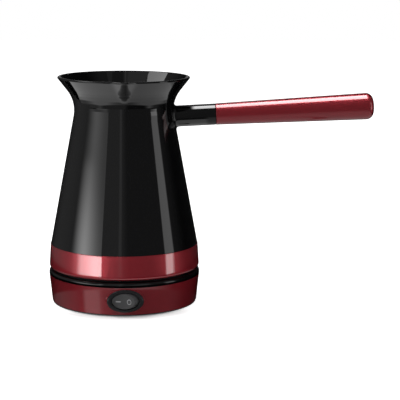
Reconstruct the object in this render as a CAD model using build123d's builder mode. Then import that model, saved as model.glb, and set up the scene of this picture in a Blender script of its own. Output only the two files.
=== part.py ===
from build123d import *
import os
from math import cos, radians, sin, sqrt, tan

os.makedirs("parts", exist_ok=True)

# An electric Turkish coffee pot on a round power base with a rocker switch.
# Millimetres. Z is the axis of pot and base, z = 0 is the table. The spout and
# the switch face -Y and the handle points to +X.

# --- Driving dimensions -------------------------------------------------------

# Power base
BASE_R = 57.5  # widest, where the red wall meets the black top
BASE_LOW_R = 55.27  # red wall at its lower edge
BASE_LOW_Z = 1.6
BASE_SPLIT_Z = 22.3  # red wall below, black top above
BASE_TOP_Z = 26.0
BASE_WALL = 2.2
BASE_FLOOR_Z = 0.8  # underside of the lower cover, the rubber ring stands below it
POST_SPREAD = 31.1  # base screws at the corners of a square of twice this
INLET_R = 3.5  # arch for the mains lead, at the back
INLET_Z = 5.0

# Pot
RIM_Z = 172.4
RIM_R = 50.8  # where the flare would meet the rim plane if it were not rounded
FLARE_ANGLE = 38.1  # of the mouth, from the vertical
BODY_ANGLE = 10.48  # of the body cone, from the vertical
BODY_R = 55.92  # body cone where it meets the red band
BAND_TOP_Z = 45.6
NECK_FILLET = 24.3
POT_WALL = 2.2
RIM_ROUNDING = 0.9

# Spout: a V with a rounded nose that leaves the body at the neck and leans out
SPOUT_START_Z = 157.2
SPOUT_START_Y = -39.8
SPOUT_TIP_Z = 171.7
SPOUT_TIP_Y = -55.8
SPOUT_HALF_ANGLE = 50.0
SPOUT_NOSE_R = 4.5
SPOUT_ROOT_Z = 150.0  # the form starts inside the neck wall
SPOUT_DEPTH = 12.0  # from the nose back into the wall
SPOUT_SET_BACK = 3.6  # from the outer V back to the inner one
SPOUT_INNER_NOSE_R = 1.7

# Lower end of the pot, round the heating plate
SKIRT_R = 54.2
SKIRT_IN_R = 52.0
SKIRT_LOW_Z = 28.7
LEDGE_Z = 42.5  # underside of the ledge that the plate seals against
LEDGE_TOP_Z = 44.5
LEDGE_IN_R = 40.9
BOSS_R = 3.2
BOSS_RING_R = 48.0
CLAMP_ANGLES = (30, 150, 270)
COVER_ANGLES = (90, 210, 330)
BAND_LOW_Z = 27.3
BAND_R = 57.15

# Heating plate and what is under it
PLATE_R = 40.0
PLATE_FLANGE_R = 43.9
PLATE_TOP_Z = 43.8
PLATE_SHEET = 0.8
FLANGE_TOP_Z = 41.1
SPREADER_R = 38.5
SPREADER_Z = 40.5
ELEMENT_LOOP_R = 27.0
ELEMENT_R = 3.25
ELEMENT_GAP = 35.0  # half of the angle left open between the two ends
CONTROL_R = 14.0  # the thermostat's block on top of the connector

# Connector between base and pot
TOWER_R = 17.1
TOWER_TOP_Z = 33.0
SLOT_FLOOR_Z = 20.0
HOUSING_LOW_Z = 14.0
EARTH_BORE_R = 3.3
PIN_R = 2.4
LINE_RING_R = 8.0
NEUTRAL_RING_R = 12.9
RING_SHEET = 0.6
RING_LOW_Z = 28.2
CUP_IN_R = 17.8
CUP_OUT_R = 20.5
CUP_LOW_Z = 27.4
CUP_CEILING_Z = 34.0
CUP_TOP_Z = 36.0
CUP_FLANGE_R = 28.0
CUP_SCREW_R = 24.5
TAB = (4.8, 0.8)
TAB_LOW_Z = 8.0

# Lower cover of the pot
COVER_LOW_Z = 26.9
COVER_R = 54.1

# Handle
HANDLE_ANGLE = 2.89  # it rises towards its end
HANDLE_Z = 140.1  # its axis where it crosses the Z axis
STUB_R = 8.05
STUB_END = 69.4  # distances along the handle's axis
GRIP_START_R = 8.12
GRIP_END_R = 10.2
GRIP_END = 190.0
GRIP_CORNER = 5.5
CORE_R = 5.15
CORE_CROSS_R = 4.75
CORE_RIB = 2.4
SOCKET_R = 5.5
SOCKET_END = 44.0
CORE_END = 176.0
HANDLE_SCREW_AT = 57.0

# Rocker switch, on the front of the base
SWITCH_Z = 12.7
SEAT_Y = -57.7  # flat oval seat on the red wall
BEZEL = (13.6, 8.55)
BEZEL_DEPTH = 1.8
SWITCH_BODY = (12.3, 8.0)
SWITCH_OPENING = (10.25, 6.4)
SWITCH_CAVITY = (11.2, 6.9)
SWITCH_BACK_Y = -42.5
OUT_TERMINAL_X = 6.5  # the other terminal is in the middle
ROCKER_Y = -54.7  # its pivot
LIP_BACK = 3.4  # from the pivot forward to the back of the bezel's lip
ROCKER_GAP = 0.3
ROCKER_HALF_H = 6.1
ROCKER_TRAVEL = 25.0
ROCKER_EDGE_ANGLE = 53.3  # from the middle of the face to its edge, seen from the pivot
ROCKER_PIN_R = 1.25
PIN_CLEARANCE = 0.05
BLADE_Y = -47.2
BLADE_TILT = 9.0

# Screws: (head radius, head height, shank radius, length)
BASE_SCREW = (2.8, 2.0, 1.2, 12.0)
TOWER_SCREW = (2.4, 1.6, 0.95, 4.8)
CLAMP_SCREW = (2.6, 1.8, 1.2, 4.2)
# Countersunk ones: (head radius, shank radius, length)
COVER_SCREW = (2.75, 1.2, 12.0)
CONNECTOR_SCREW = (2.25, 0.95, 5.0)
SINK_DEPTH = 1.3
PILOT_R = 1.25  # holes that the 2.4 mm screws cut their thread in
SMALL_PILOT_R = 1.0

# Leads inside
LEAD_R = 1.0
FUSE_LEAD_R = 0.7
BARREL_R = 1.25  # crimped end of a lead
BARREL_LENGTH = 2.6

SMALL = 0.05  # less than any real step, to pick edges by their place

# --- Shared helpers -----------------------------------------------------------


def turned(points):
    """Turn a closed outline of (radius, height) points about the Z axis."""
    with BuildSketch(Plane.XZ) as outline:
        with BuildLine():
            Polyline(*points, close=True)
        make_face()
    revolve(outline.sketch, axis=Axis.Z)


def corner(sketch, across, up):
    """The corner of a sketch that is nearest to a place in the plane XZ."""
    return sketch.vertices().sort_by_distance((across, up, 0))[0]


def tube(inner_r, outer_r, low_z, high_z, mode=Mode.ADD):
    """Add or cut an upright tube, or a disc where the inner radius is zero."""
    with BuildSketch(Plane.XY.offset(low_z)) as outline:
        Circle(outer_r)
        if inner_r:
            Circle(inner_r, mode=Mode.SUBTRACT)
    extrude(outline.sketch, amount=high_z - low_z, mode=mode)


def studs(places, radius, low_z, high_z, mode=Mode.ADD):
    """Add or cut one upright cylinder at each (x, y) place."""
    with BuildSketch(Plane.XY.offset(low_z)) as outline:
        with Locations(*places):
            Circle(radius)
    extrude(outline.sketch, amount=high_z - low_z, mode=mode)


def spokes(angles, start_r, end_r, width, low_z, high_z):
    """Add straight ribs that point away from the Z axis."""
    for angle in angles:
        with BuildSketch(Plane.XY.offset(low_z).rotated((0, 0, angle))) as outline:
            with Locations(((start_r + end_r) / 2, 0)):
                Rectangle(end_r - start_r, width)
        extrude(outline.sketch, amount=high_z - low_z)


def on_circle(radius, angles):
    """The (x, y) places on a circle at the given angles."""
    return [(radius * cos(radians(a)), radius * sin(radians(a))) for a in angles]


def oval(half_width, half_height, from_y, to_y, mode=Mode.ADD):
    """Add or cut an oval prism along Y, centred on the switch."""
    with BuildSketch(Plane.XZ.offset(-from_y)) as outline:
        with Locations((0, SWITCH_Z)):
            Ellipse(half_width, half_height)
    extrude(outline.sketch, amount=from_y - to_y, mode=mode)


def round_bar(plane, radius, length, mode=Mode.ADD):
    """Add or cut a round bar that starts on a plane."""
    with BuildSketch(plane) as outline:
        Circle(radius)
    extrude(outline.sketch, amount=length, mode=mode)


def cross_recess(x, y, low_z, size, depth):
    """Cut the cross of a screw's head, upwards from its flat."""
    with BuildSketch(Plane.XY.offset(low_z)) as recess:
        with Locations((x, y)):
            Rectangle(size, size / 4)
            Rectangle(size / 4, size)
    extrude(recess.sketch, amount=depth, mode=Mode.SUBTRACT)


def pan_screws(places, head_z, screw):
    """Screws that point up, with a domed head below head_z and a cross recess."""
    head_r, head_h, shank_r, length = screw
    for x, y in places:
        with BuildSketch(Plane.XY.offset(head_z)) as head:
            with Locations((x, y)):
                Circle(head_r)
        extrude(head.sketch, amount=-head_h, taper=12)
        studs([(x, y)], shank_r, head_z, head_z + length)
        cross_recess(x, y, head_z - head_h, head_r, 0.6 * head_h)


def countersink(x, y, low_z, head_r, shank_r, mode=Mode.ADD):
    """Add or cut the cone of a countersunk head that is flush with low_z."""
    with Locations((x, y, low_z)):
        Cone(head_r, shank_r, SINK_DEPTH, align=(Align.CENTER, Align.CENTER, Align.MIN), mode=mode)


def flush_screws(places, head_z, screw):
    """Countersunk screws that point up, with a cross recess in the flat head."""
    head_r, shank_r, length = screw
    for x, y in places:
        countersink(x, y, head_z, head_r, shank_r)
        studs([(x, y)], shank_r, head_z, head_z + length)
        cross_recess(x, y, head_z, head_r, SINK_DEPTH / 2)


def lead(radius, points):
    """A lead through these points, with every bend as wide as its runs allow."""
    path = [Vector(*point) for point in points]
    bends = []
    for before, here, after in zip(path, path[1:], path[2:]):
        turn = radians((here - before).get_angle(after - here))
        bends.append(0.45 * min((here - before).length, (after - here).length) / tan(turn / 2))
    with BuildLine() as route:
        FilletPolyline(*path, radius=bends)
    with BuildSketch(Plane(origin=path[0], z_dir=path[1] - path[0])) as section:
        Circle(radius)
    sweep(section.sketch, path=route.wire())
    print("bends of a lead:", [round(bend, 1) for bend in bends])


RECEPTACLE = (TAB[0] + 1.4, TAB[1] + 1.0)
RECEPTACLE_COVERS = 4.4
RECEPTACLE_STOP = 0.8


def receptacle(tab_tip, barrel):
    """A push-on receptacle on a tab.

    tab_tip is the plane at the tab's end, its x along the tab's width and its z
    away from the tab. barrel is the plane that the crimped barrel starts on.
    """
    with BuildSketch(tab_tip.offset(-RECEPTACLE_COVERS)) as body:
        Rectangle(*RECEPTACLE)
    extrude(body.sketch, amount=RECEPTACLE_COVERS + RECEPTACLE_STOP)
    round_bar(barrel, BARREL_R, BARREL_LENGTH)
    with BuildSketch(tab_tip.offset(-RECEPTACLE_COVERS)) as slot:
        Rectangle(*TAB)
    extrude(slot.sketch, amount=RECEPTACLE_COVERS, mode=Mode.SUBTRACT)


def finish(builder, name):
    """Label a piece and write it to its own file."""
    builder.part.label = name
    export_step(builder.part, f"parts/{name}.step")


POST_PLACES = [(x, y) for x in (-POST_SPREAD, POST_SPREAD) for y in (-POST_SPREAD, POST_SPREAD)]
EAR_ANGLES = (30, 150, 270)
TOWER_EARS = on_circle(25.0, EAR_ANGLES)
CLAMP_PLACES = on_circle(BOSS_RING_R, CLAMP_ANGLES)
COVER_PLACES = on_circle(BOSS_RING_R, COVER_ANGLES)
CUP_SCREW_PLACES = on_circle(CUP_SCREW_R, COVER_ANGLES)

# --- Pot ----------------------------------------------------------------------

BODY_SLOPE = tan(radians(BODY_ANGLE))
FLARE_SLOPE = tan(radians(FLARE_ANGLE))


def pot_form(inset, low_z, mode=Mode.ADD):
    """The turned form of body and mouth, inset from the outer face of the wall."""
    body_r = BODY_R - inset / cos(radians(BODY_ANGLE))
    rim_r = RIM_R - inset / cos(radians(FLARE_ANGLE))
    low_r = body_r - BODY_SLOPE * (low_z - BAND_TOP_Z)
    climb = body_r + BODY_SLOPE * BAND_TOP_Z - rim_r + FLARE_SLOPE * RIM_Z
    neck_z = climb / (FLARE_SLOPE + BODY_SLOPE)
    neck_r = body_r - BODY_SLOPE * (neck_z - BAND_TOP_Z)
    with BuildSketch(Plane.XZ) as outline:
        with BuildLine():
            Polyline((0, low_z), (low_r, low_z), (neck_r, neck_z), (rim_r, RIM_Z), (0, RIM_Z), close=True)
        make_face()
        fillet(corner(outline, neck_r, neck_z), NECK_FILLET + inset)
    revolve(outline.sketch, axis=Axis.Z, mode=mode)


SPOUT_LEAN = (SPOUT_START_Y - SPOUT_TIP_Y) / (SPOUT_TIP_Z - SPOUT_START_Z)
SPOUT_STEP = sqrt(1 + SPOUT_LEAN**2)  # length along the nose for each unit of height


def spout_form(set_back, nose_r, mode=Mode.ADD):
    """The rounded V of the spout, swept in a straight line along its leaning nose."""
    half = radians(SPOUT_HALF_ANGLE)
    sharp = SPOUT_NOSE_R * (1 / sin(half) - 1)
    apex_y = SPOUT_START_Y - sharp + SPOUT_LEAN * (SPOUT_START_Z - SPOUT_ROOT_Z) + set_back
    back_y = apex_y + SPOUT_DEPTH
    half_width = SPOUT_DEPTH * tan(half)
    with BuildSketch(Plane.XY.offset(SPOUT_ROOT_Z)) as vee:
        with BuildLine():
            Polyline((0, apex_y), (half_width, back_y), (-half_width, back_y), close=True)
        make_face()
        fillet(corner(vee, 0, apex_y), nose_r)
    rise = RIM_Z - SPOUT_ROOT_Z
    extrude(vee.sketch, amount=rise * SPOUT_STEP, dir=(0, -SPOUT_LEAN, 1), mode=mode)


HANDLE_PLANE = Plane(
    origin=(0, 0, HANDLE_Z),
    x_dir=(0, 1, 0),
    z_dir=(cos(radians(HANDLE_ANGLE)), 0, sin(radians(HANDLE_ANGLE))),
)
# Along the handle for x and outwards for y, to turn outlines about the handle's axis
HANDLE_SIDE = Plane(origin=(0, 0, HANDLE_Z), x_dir=HANDLE_PLANE.z_dir, z_dir=(0, -1, 0))
HANDLE_AXIS = Axis((0, 0, HANDLE_Z), HANDLE_PLANE.z_dir)
HANDLE_SCREW_LOW = 1.0  # its hole is drawn from this far below the stub
HANDLE_SCREW_PLANE = Plane(
    origin=HANDLE_SIDE.from_local_coords((HANDLE_SCREW_AT, -STUB_R - HANDLE_SCREW_LOW)),
    x_dir=HANDLE_PLANE.z_dir,
    z_dir=HANDLE_SIDE.y_dir,
)
HANDLE_SCREW_R = 1.2
HANDLE_SCREW_HEAD = (2.4, 1.0)
HANDLE_SCREW_SINK = (2.8, 2.2)


def rod(radius, start, end, mode=Mode.ADD):
    """Add or cut a round rod along the handle's axis."""
    round_bar(HANDLE_PLANE.offset(start), radius, end - start, mode)


# Pot: one plastic moulding with body, flared mouth, spout and handle root.
STUB_START = 30.0  # inside the neck's wall
STUB_LEAVES_X = (30.0, 42.0)  # the neck's wall, where the stub comes out
ROOT_FILLET = 2.0
BOSS_WEB = (2.4, 1.8)
COVER_LIP_Z = SKIRT_LOW_Z + 1.9
BRIDGE = 2.0  # solid left above the long pilot holes
with BuildPart() as pot_shell:
    pot_form(0, BAND_TOP_Z)
    spout_form(0, SPOUT_NOSE_R)
    rod(STUB_R, STUB_START, STUB_END)
    near_x, far_x = STUB_LEAVES_X
    fillet(pot_shell.edges().filter_by(lambda e: near_x < e.center().X < far_x), ROOT_FILLET)
    tube(0, SKIRT_R, SKIRT_LOW_Z, BAND_TOP_Z)
    pot_form(POT_WALL, LEDGE_TOP_Z, mode=Mode.SUBTRACT)
    spout_form(SPOUT_SET_BACK, SPOUT_INNER_NOSE_R, mode=Mode.SUBTRACT)
    tube(0, SKIRT_IN_R, SKIRT_LOW_Z, LEDGE_Z, mode=Mode.SUBTRACT)
    tube(0, LEDGE_IN_R, LEDGE_Z, LEDGE_TOP_Z, mode=Mode.SUBTRACT)
    rim_edges = pot_shell.edges().filter_by(lambda e: e.bounding_box().min.Z > RIM_Z - SMALL)
    fillet(rim_edges, RIM_ROUNDING)
    # Screw bosses under the ledge: short ones for the clamp ring, and long ones that
    # stand on the cover, each with a web to the wall
    studs(CLAMP_PLACES, BOSS_R, FLANGE_TOP_Z - PLATE_SHEET, LEDGE_Z)
    studs(COVER_PLACES, BOSS_R, SKIRT_LOW_Z, LEDGE_Z)
    web_r = BOSS_RING_R + BOSS_R - 0.2
    spokes(COVER_ANGLES, web_r - BOSS_WEB[0] / 2, web_r + BOSS_WEB[0] / 2, BOSS_WEB[1], COVER_LIP_Z, LEDGE_Z)
    studs(CLAMP_PLACES, PILOT_R, FLANGE_TOP_Z - PLATE_SHEET, LEDGE_Z + 1.2, mode=Mode.SUBTRACT)
    studs(COVER_PLACES, PILOT_R, SKIRT_LOW_Z, LEDGE_Z - BRIDGE, mode=Mode.SUBTRACT)
    # Socket for the handle's core, and the recessed hole for its screw from below
    rod(SOCKET_R, SOCKET_END, STUB_END, mode=Mode.SUBTRACT)
    round_bar(HANDLE_SCREW_PLANE, HANDLE_SCREW_R + 0.3, STUB_R - 1, mode=Mode.SUBTRACT)
    round_bar(HANDLE_SCREW_PLANE, *HANDLE_SCREW_SINK, mode=Mode.SUBTRACT)
finish(pot_shell, "pot_shell")

# Red band round the foot of the pot.
BAND_TOP_R = BODY_R + 0.25
BAND_BEND_Z = 30.2  # cone above, straight below
BAND_LOW_ROUND = 2.2
BAND_TOP_ROUND = 0.4
with BuildPart() as trim_ring:
    with BuildSketch(Plane.XZ) as band_outline:
        with BuildLine():
            Polyline(
                (SKIRT_R, BAND_TOP_Z),
                (BAND_TOP_R, BAND_TOP_Z),
                (BAND_R, BAND_BEND_Z),
                (BAND_R, BAND_LOW_Z),
                (SKIRT_R, BAND_LOW_Z),
                close=True,
            )
        make_face()
        fillet(corner(band_outline, BAND_R, BAND_LOW_Z), BAND_LOW_ROUND)
        fillet(corner(band_outline, BAND_TOP_R, BAND_TOP_Z), BAND_TOP_ROUND)
    revolve(axis=Axis.Z)
finish(trim_ring, "trim_ring")

# Stainless plate, the floor of the pot: a shallow pressed pan with a flat flange.
CROWN_ROUND = 1.2
FLANGE_LOW_Z = FLANGE_TOP_Z - PLATE_SHEET
with BuildPart() as heating_plate:
    turned(
        [
            (0, PLATE_TOP_Z),
            (PLATE_R, PLATE_TOP_Z),
            (PLATE_R, FLANGE_TOP_Z),
            (PLATE_FLANGE_R, FLANGE_TOP_Z),
            (PLATE_FLANGE_R, FLANGE_LOW_Z),
            (PLATE_R - PLATE_SHEET, FLANGE_LOW_Z),
            (PLATE_R - PLATE_SHEET, PLATE_TOP_Z - PLATE_SHEET),
            (0, PLATE_TOP_Z - PLATE_SHEET),
        ]
    )
    crown = heating_plate.edges().filter_by(GeomType.CIRCLE).group_by(Axis.Z)[-1]
    fillet(crown, CROWN_ROUND)
finish(heating_plate, "heating_plate")

# Silicone seal: flat under the ledge, with a lip that fills the gap round the plate.
SEAL_LIP_Z = LEDGE_TOP_Z - 0.3
with BuildPart() as plate_gasket:
    turned(
        [
            (PLATE_R, FLANGE_TOP_Z),
            (PLATE_FLANGE_R, FLANGE_TOP_Z),
            (PLATE_FLANGE_R, LEDGE_Z),
            (LEDGE_IN_R, LEDGE_Z),
            (LEDGE_IN_R, SEAL_LIP_Z),
            (PLATE_R, SEAL_LIP_Z - 0.5),
        ]
    )
finish(plate_gasket, "plate_gasket")

# Clamp ring that presses flange and seal up against the ledge.
CLAMP_SHEET = 1.2
CLAMP_COLLAR = 2.6
CLAMP_IN_R = PLATE_R + 0.3
CLAMP_LOW_Z = FLANGE_LOW_Z - CLAMP_SHEET
with BuildPart() as clamp_ring:
    turned(
        [
            (CLAMP_IN_R, FLANGE_LOW_Z),
            (CLAMP_IN_R, FLANGE_LOW_Z - CLAMP_COLLAR),
            (CLAMP_IN_R + CLAMP_SHEET, FLANGE_LOW_Z - CLAMP_COLLAR),
            (CLAMP_IN_R + CLAMP_SHEET, CLAMP_LOW_Z),
            (PLATE_FLANGE_R, CLAMP_LOW_Z),
            (PLATE_FLANGE_R, FLANGE_LOW_Z),
        ]
    )
    spokes(CLAMP_ANGLES, CLAMP_IN_R + CLAMP_SHEET, BOSS_RING_R, 2 * BOSS_R, CLAMP_LOW_Z, FLANGE_LOW_Z)
    studs(CLAMP_PLACES, BOSS_R, CLAMP_LOW_Z, FLANGE_LOW_Z)
    studs(CLAMP_PLACES, CLAMP_SCREW[2] + 0.3, CLAMP_LOW_Z, FLANGE_LOW_Z, mode=Mode.SUBTRACT)
finish(clamp_ring, "clamp_ring")

with BuildPart() as clamp_screws:
    pan_screws(CLAMP_PLACES, CLAMP_LOW_Z, CLAMP_SCREW)
finish(clamp_screws, "clamp_screws")

# Aluminium spreader, brazed between plate and element.
with BuildPart() as heat_spreader:
    tube(0, SPREADER_R, SPREADER_Z, PLATE_TOP_Z - PLATE_SHEET)
finish(heat_spreader, "heat_spreader")

# Sheathed element: an open loop whose two ends run out straight.
ELEMENT_Z = SPREADER_Z - ELEMENT_R
ELEMENT_TAIL = 5.0
BEAD_END = ELEMENT_TAIL + 1.4
PIN_END = BEAD_END + 4.2
GAP_RAD = radians(ELEMENT_GAP)
LOOP_ENDS = [
    (ELEMENT_LOOP_R * sin(side * GAP_RAD), ELEMENT_LOOP_R * cos(GAP_RAD), ELEMENT_Z) for side in (1, -1)
]
TAIL_DIRS = [(-side * cos(GAP_RAD), sin(GAP_RAD), 0) for side in (1, -1)]


def along_tails(radius, start, end, mode=Mode.ADD):
    """Add or cut a short rod on the line of each end of the element."""
    for end_point, out in zip(LOOP_ENDS, TAIL_DIRS):
        round_bar(Plane(origin=end_point, z_dir=out).offset(start), radius, end - start, mode)


with BuildPart() as heating_element:
    with BuildLine() as element_path:
        ThreePointArc(LOOP_ENDS[0], (0, -ELEMENT_LOOP_R, ELEMENT_Z), LOOP_ENDS[1])
    with BuildSketch(Plane(origin=LOOP_ENDS[0], z_dir=TAIL_DIRS[0])) as element_section:
        Circle(ELEMENT_R)
    sweep(element_section.sketch, path=element_path.line)
    along_tails(ELEMENT_R, 0, ELEMENT_TAIL)
finish(heating_element, "heating_element")

# Ceramic beads close the ends of the sheath, and the cold pins come out of them.
COLD_PIN_R = 1.1
with BuildPart() as element_beads:
    along_tails(2.6, ELEMENT_TAIL, BEAD_END)
finish(element_beads, "element_beads")

with BuildPart() as element_pins:
    along_tails(COLD_PIN_R, BEAD_END, PIN_END)
finish(element_pins, "element_pins")

# Thermostat on top of the connector, with its snap-action disc against the spreader.
# Its block also holds the links from the two rings to its tabs.
CONTROL_HOLE_R = 4.2
CONTROL_TOP_Z = 39.2
CONTROL_SHOULDER = (10.2, 38.4)
CONTROL_TAB_Z = CUP_TOP_Z + 0.6
CONTROL_TAB = (13.5, 18.5)  # it leaves the block and ends at these distances from the axis
with BuildPart() as thermostat:
    turned(
        [
            (CONTROL_HOLE_R, CUP_TOP_Z),
            (CONTROL_R, CUP_TOP_Z),
            (CONTROL_R, CONTROL_SHOULDER[1]),
            (CONTROL_SHOULDER[0], CONTROL_TOP_Z),
            (CONTROL_HOLE_R, CONTROL_TOP_Z),
        ]
    )
    spokes((0, 180), *CONTROL_TAB, TAB[0], CONTROL_TAB_Z, CONTROL_TAB_Z + TAB[1])
finish(thermostat, "thermostat")

DISC_SHEET = 0.3
DISC_R = 9.6
DISC_FLAT_R = 3.0
DISC_DISH = 1.0
with BuildPart() as bimetal_disc:
    turned(
        [
            (0, SPREADER_Z),
            (DISC_FLAT_R, SPREADER_Z),
            (DISC_R, SPREADER_Z - DISC_DISH),
            (DISC_R, SPREADER_Z - DISC_DISH - DISC_SHEET),
            (DISC_FLAT_R, SPREADER_Z - DISC_SHEET),
            (0, SPREADER_Z - DISC_SHEET),
        ]
    )
finish(bimetal_disc, "bimetal_disc")

# Crimps on the cold pins: a sleeve round each pin, with the barrel of its lead.
CRIMP_AT = BEAD_END + 3.0  # the barrel's distance along the tail
CRIMP_R = 1.9
BARREL_REACH = 4.4  # from the pin's axis to the barrel's end
INWARD = [Vector(-side * sin(GAP_RAD), -cos(GAP_RAD), 0) for side in (1, -1)]
CRIMP_ROOTS = [Vector(*end) + Vector(*out) * CRIMP_AT for end, out in zip(LOOP_ENDS, TAIL_DIRS)]
BARREL_ENDS = [root + inward * BARREL_REACH for root, inward in zip(CRIMP_ROOTS, INWARD)]
with BuildPart() as pin_crimps:
    along_tails(CRIMP_R, CRIMP_AT - 2.0, CRIMP_AT + 2.0)
    for root, inward in zip(CRIMP_ROOTS, INWARD):
        round_bar(Plane(origin=root, z_dir=inward), BARREL_R, BARREL_REACH)
    along_tails(COLD_PIN_R, CRIMP_AT - 2.0, PIN_END, mode=Mode.SUBTRACT)
finish(pin_crimps, "pin_crimps")

# Receptacles on the thermostat's tabs. Their barrels leave sideways.
CONTROL_BARREL_X = CONTROL_TAB[1] - 0.9
CONTROL_BARREL_Y = RECEPTACLE[0] / 2 - 0.1
LEAD_LEVEL = ELEMENT_Z + 0.05
with BuildPart() as jug_receptacles:
    for side in (1, -1):
        tip = (side * CONTROL_TAB[1], 0, CONTROL_TAB_Z + TAB[1] / 2)
        tab_tip = Plane(origin=tip, x_dir=(0, 1, 0), z_dir=(side, 0, 0))
        barrel_start = Plane(origin=(side * CONTROL_BARREL_X, CONTROL_BARREL_Y, LEAD_LEVEL), z_dir=(0, 1, 0))
        receptacle(tab_tip, barrel_start)
finish(jug_receptacles, "jug_receptacles")

# Lead from the thermostat to one end of the element, round the thermostat.
CONTROL_LEAD_Y = CONTROL_BARREL_Y + BARREL_LENGTH
with BuildPart() as element_lead:
    lead(
        LEAD_R,
        [
            BARREL_ENDS[0],
            BARREL_ENDS[0] + INWARD[0] * 4.6,
            (5.6, 16.0, ELEMENT_Z),
            (11.6, 14.4, LEAD_LEVEL),
            (CONTROL_BARREL_X, 9.8, LEAD_LEVEL),
            (CONTROL_BARREL_X, CONTROL_LEAD_Y, LEAD_LEVEL),
        ],
    )
finish(element_lead, "element_lead")

# Thermal fuse against the spreader, in series with the other end of the element.
FUSE_R = 2.0
FUSE_HALF = 5.5
FUSE_END_CHAMFER = 0.7
FUSE_PLACE = Vector(-10.8, 14.4, SPREADER_Z - FUSE_R)
FUSE_DIR = Vector(0.889, 0.458, 0).normalized()
with BuildPart() as thermal_fuse:
    round_bar(Plane(origin=FUSE_PLACE - FUSE_DIR * FUSE_HALF, z_dir=FUSE_DIR), FUSE_R, 2 * FUSE_HALF)
    chamfer(thermal_fuse.edges().filter_by(GeomType.CIRCLE), FUSE_END_CHAMFER)
    lead(
        FUSE_LEAD_R,
        [
            FUSE_PLACE + FUSE_DIR * FUSE_HALF / 2,
            (-3.2, 18.3, SPREADER_Z - FUSE_R),
            BARREL_ENDS[1] + INWARD[1] * 3.8,
            BARREL_ENDS[1],
        ],
    )
    lead(
        FUSE_LEAD_R,
        [
            FUSE_PLACE - FUSE_DIR * FUSE_HALF / 2,
            (-16.6, 11.4, SPREADER_Z - FUSE_R),
            (-CONTROL_BARREL_X, 9.0, LEAD_LEVEL),
            (-CONTROL_BARREL_X, CONTROL_LEAD_Y, LEAD_LEVEL),
        ],
    )
finish(thermal_fuse, "thermal_fuse")

# Upper connector: a cup that drops over the tower and turns freely on it.
CUP_FLANGE_TOP_Z = 30.7
CUP_BOSS_TOP_Z = 33.0
GROOVE_DEPTH = 1.2  # of the rings in the cup's ceiling
with BuildPart() as jug_connector:
    turned(
        [
            (0, CUP_TOP_Z),
            (CUP_OUT_R, CUP_TOP_Z),
            (CUP_OUT_R, CUP_FLANGE_TOP_Z),
            (CUP_FLANGE_R, CUP_FLANGE_TOP_Z),
            (CUP_FLANGE_R, SKIRT_LOW_Z),
            (CUP_OUT_R, SKIRT_LOW_Z),
            (CUP_OUT_R, CUP_LOW_Z),
            (CUP_IN_R + 0.5, CUP_LOW_Z),
            (CUP_IN_R, CUP_LOW_Z + 0.6),
            (CUP_IN_R, CUP_CEILING_Z),
            (0, CUP_CEILING_Z),
        ]
    )
    studs(CUP_SCREW_PLACES, 2.8, SKIRT_LOW_Z, CUP_BOSS_TOP_Z)
    studs(CUP_SCREW_PLACES, SMALL_PILOT_R, SKIRT_LOW_Z, CUP_BOSS_TOP_Z - 1.0, mode=Mode.SUBTRACT)
    tube(0, PIN_R, CUP_CEILING_Z, CUP_TOP_Z, mode=Mode.SUBTRACT)
    for ring_r in (LINE_RING_R, NEUTRAL_RING_R):
        tube(ring_r, ring_r + RING_SHEET, CUP_CEILING_Z, CUP_CEILING_Z + GROOVE_DEPTH, mode=Mode.SUBTRACT)
finish(jug_connector, "jug_connector")

for ring_name, ring_r in (("line_ring", LINE_RING_R), ("neutral_ring", NEUTRAL_RING_R)):
    with BuildPart() as contact_ring:
        tube(ring_r, ring_r + RING_SHEET, RING_LOW_Z, CUP_CEILING_Z + GROOVE_DEPTH)
    finish(contact_ring, ring_name)

PIN_HEAD = (3.6, 1.0)
PIN_STUD = (1.2, 2.0)
with BuildPart() as earth_pin:
    tube(0, PIN_R, RING_LOW_Z, CUP_TOP_Z)
    fillet(earth_pin.edges().group_by(Axis.Z)[0], 1.4)
    pin_head_z = CUP_TOP_Z + PIN_HEAD[1]
    tube(0, PIN_HEAD[0], CUP_TOP_Z, pin_head_z)
    tube(0, PIN_STUD[0], pin_head_z, pin_head_z + PIN_STUD[1])
finish(earth_pin, "earth_pin")

# Lower cover of the pot: it rests on the base on a low rib near its edge.
REST_RIB = (51.8, 53.0)
RIB_FOOT = 0.3  # the rib is this much wider on either side where it leaves the cover
COVER_LIP_R = SKIRT_IN_R - 0.1
COVER_LIP = 1.5
COVER_EDGE = 0.5
COVER_HOLE_R = CUP_OUT_R + 0.3
with BuildPart() as jug_cover:
    turned(
        [
            (COVER_HOLE_R, COVER_LOW_Z),
            (REST_RIB[0] - RIB_FOOT, COVER_LOW_Z),
            (REST_RIB[0], BASE_TOP_Z),
            (REST_RIB[1], BASE_TOP_Z),
            (REST_RIB[1] + RIB_FOOT, COVER_LOW_Z),
            (COVER_R - COVER_EDGE, COVER_LOW_Z),
            (COVER_R, COVER_LOW_Z + COVER_EDGE),
            (COVER_R, SKIRT_LOW_Z),
            (COVER_LIP_R, SKIRT_LOW_Z),
            (COVER_LIP_R, COVER_LIP_Z),
            (COVER_LIP_R - COVER_LIP, COVER_LIP_Z),
            (COVER_LIP_R - COVER_LIP, SKIRT_LOW_Z),
            (COVER_HOLE_R, SKIRT_LOW_Z),
        ]
    )
    for places, screw in ((COVER_PLACES, COVER_SCREW), (CUP_SCREW_PLACES, CONNECTOR_SCREW)):
        hole_r = screw[1] + 0.3
        studs(places, hole_r, COVER_LOW_Z, SKIRT_LOW_Z, mode=Mode.SUBTRACT)
        for x, y in places:
            countersink(x, y, COVER_LOW_Z, screw[0] + 0.05, hole_r, mode=Mode.SUBTRACT)
    # The long bosses stand on the plate inside the lip, so the lip is open there
    studs(COVER_PLACES, BOSS_R + 0.3, SKIRT_LOW_Z, COVER_LIP_Z, mode=Mode.SUBTRACT)
finish(jug_cover, "jug_cover")

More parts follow.
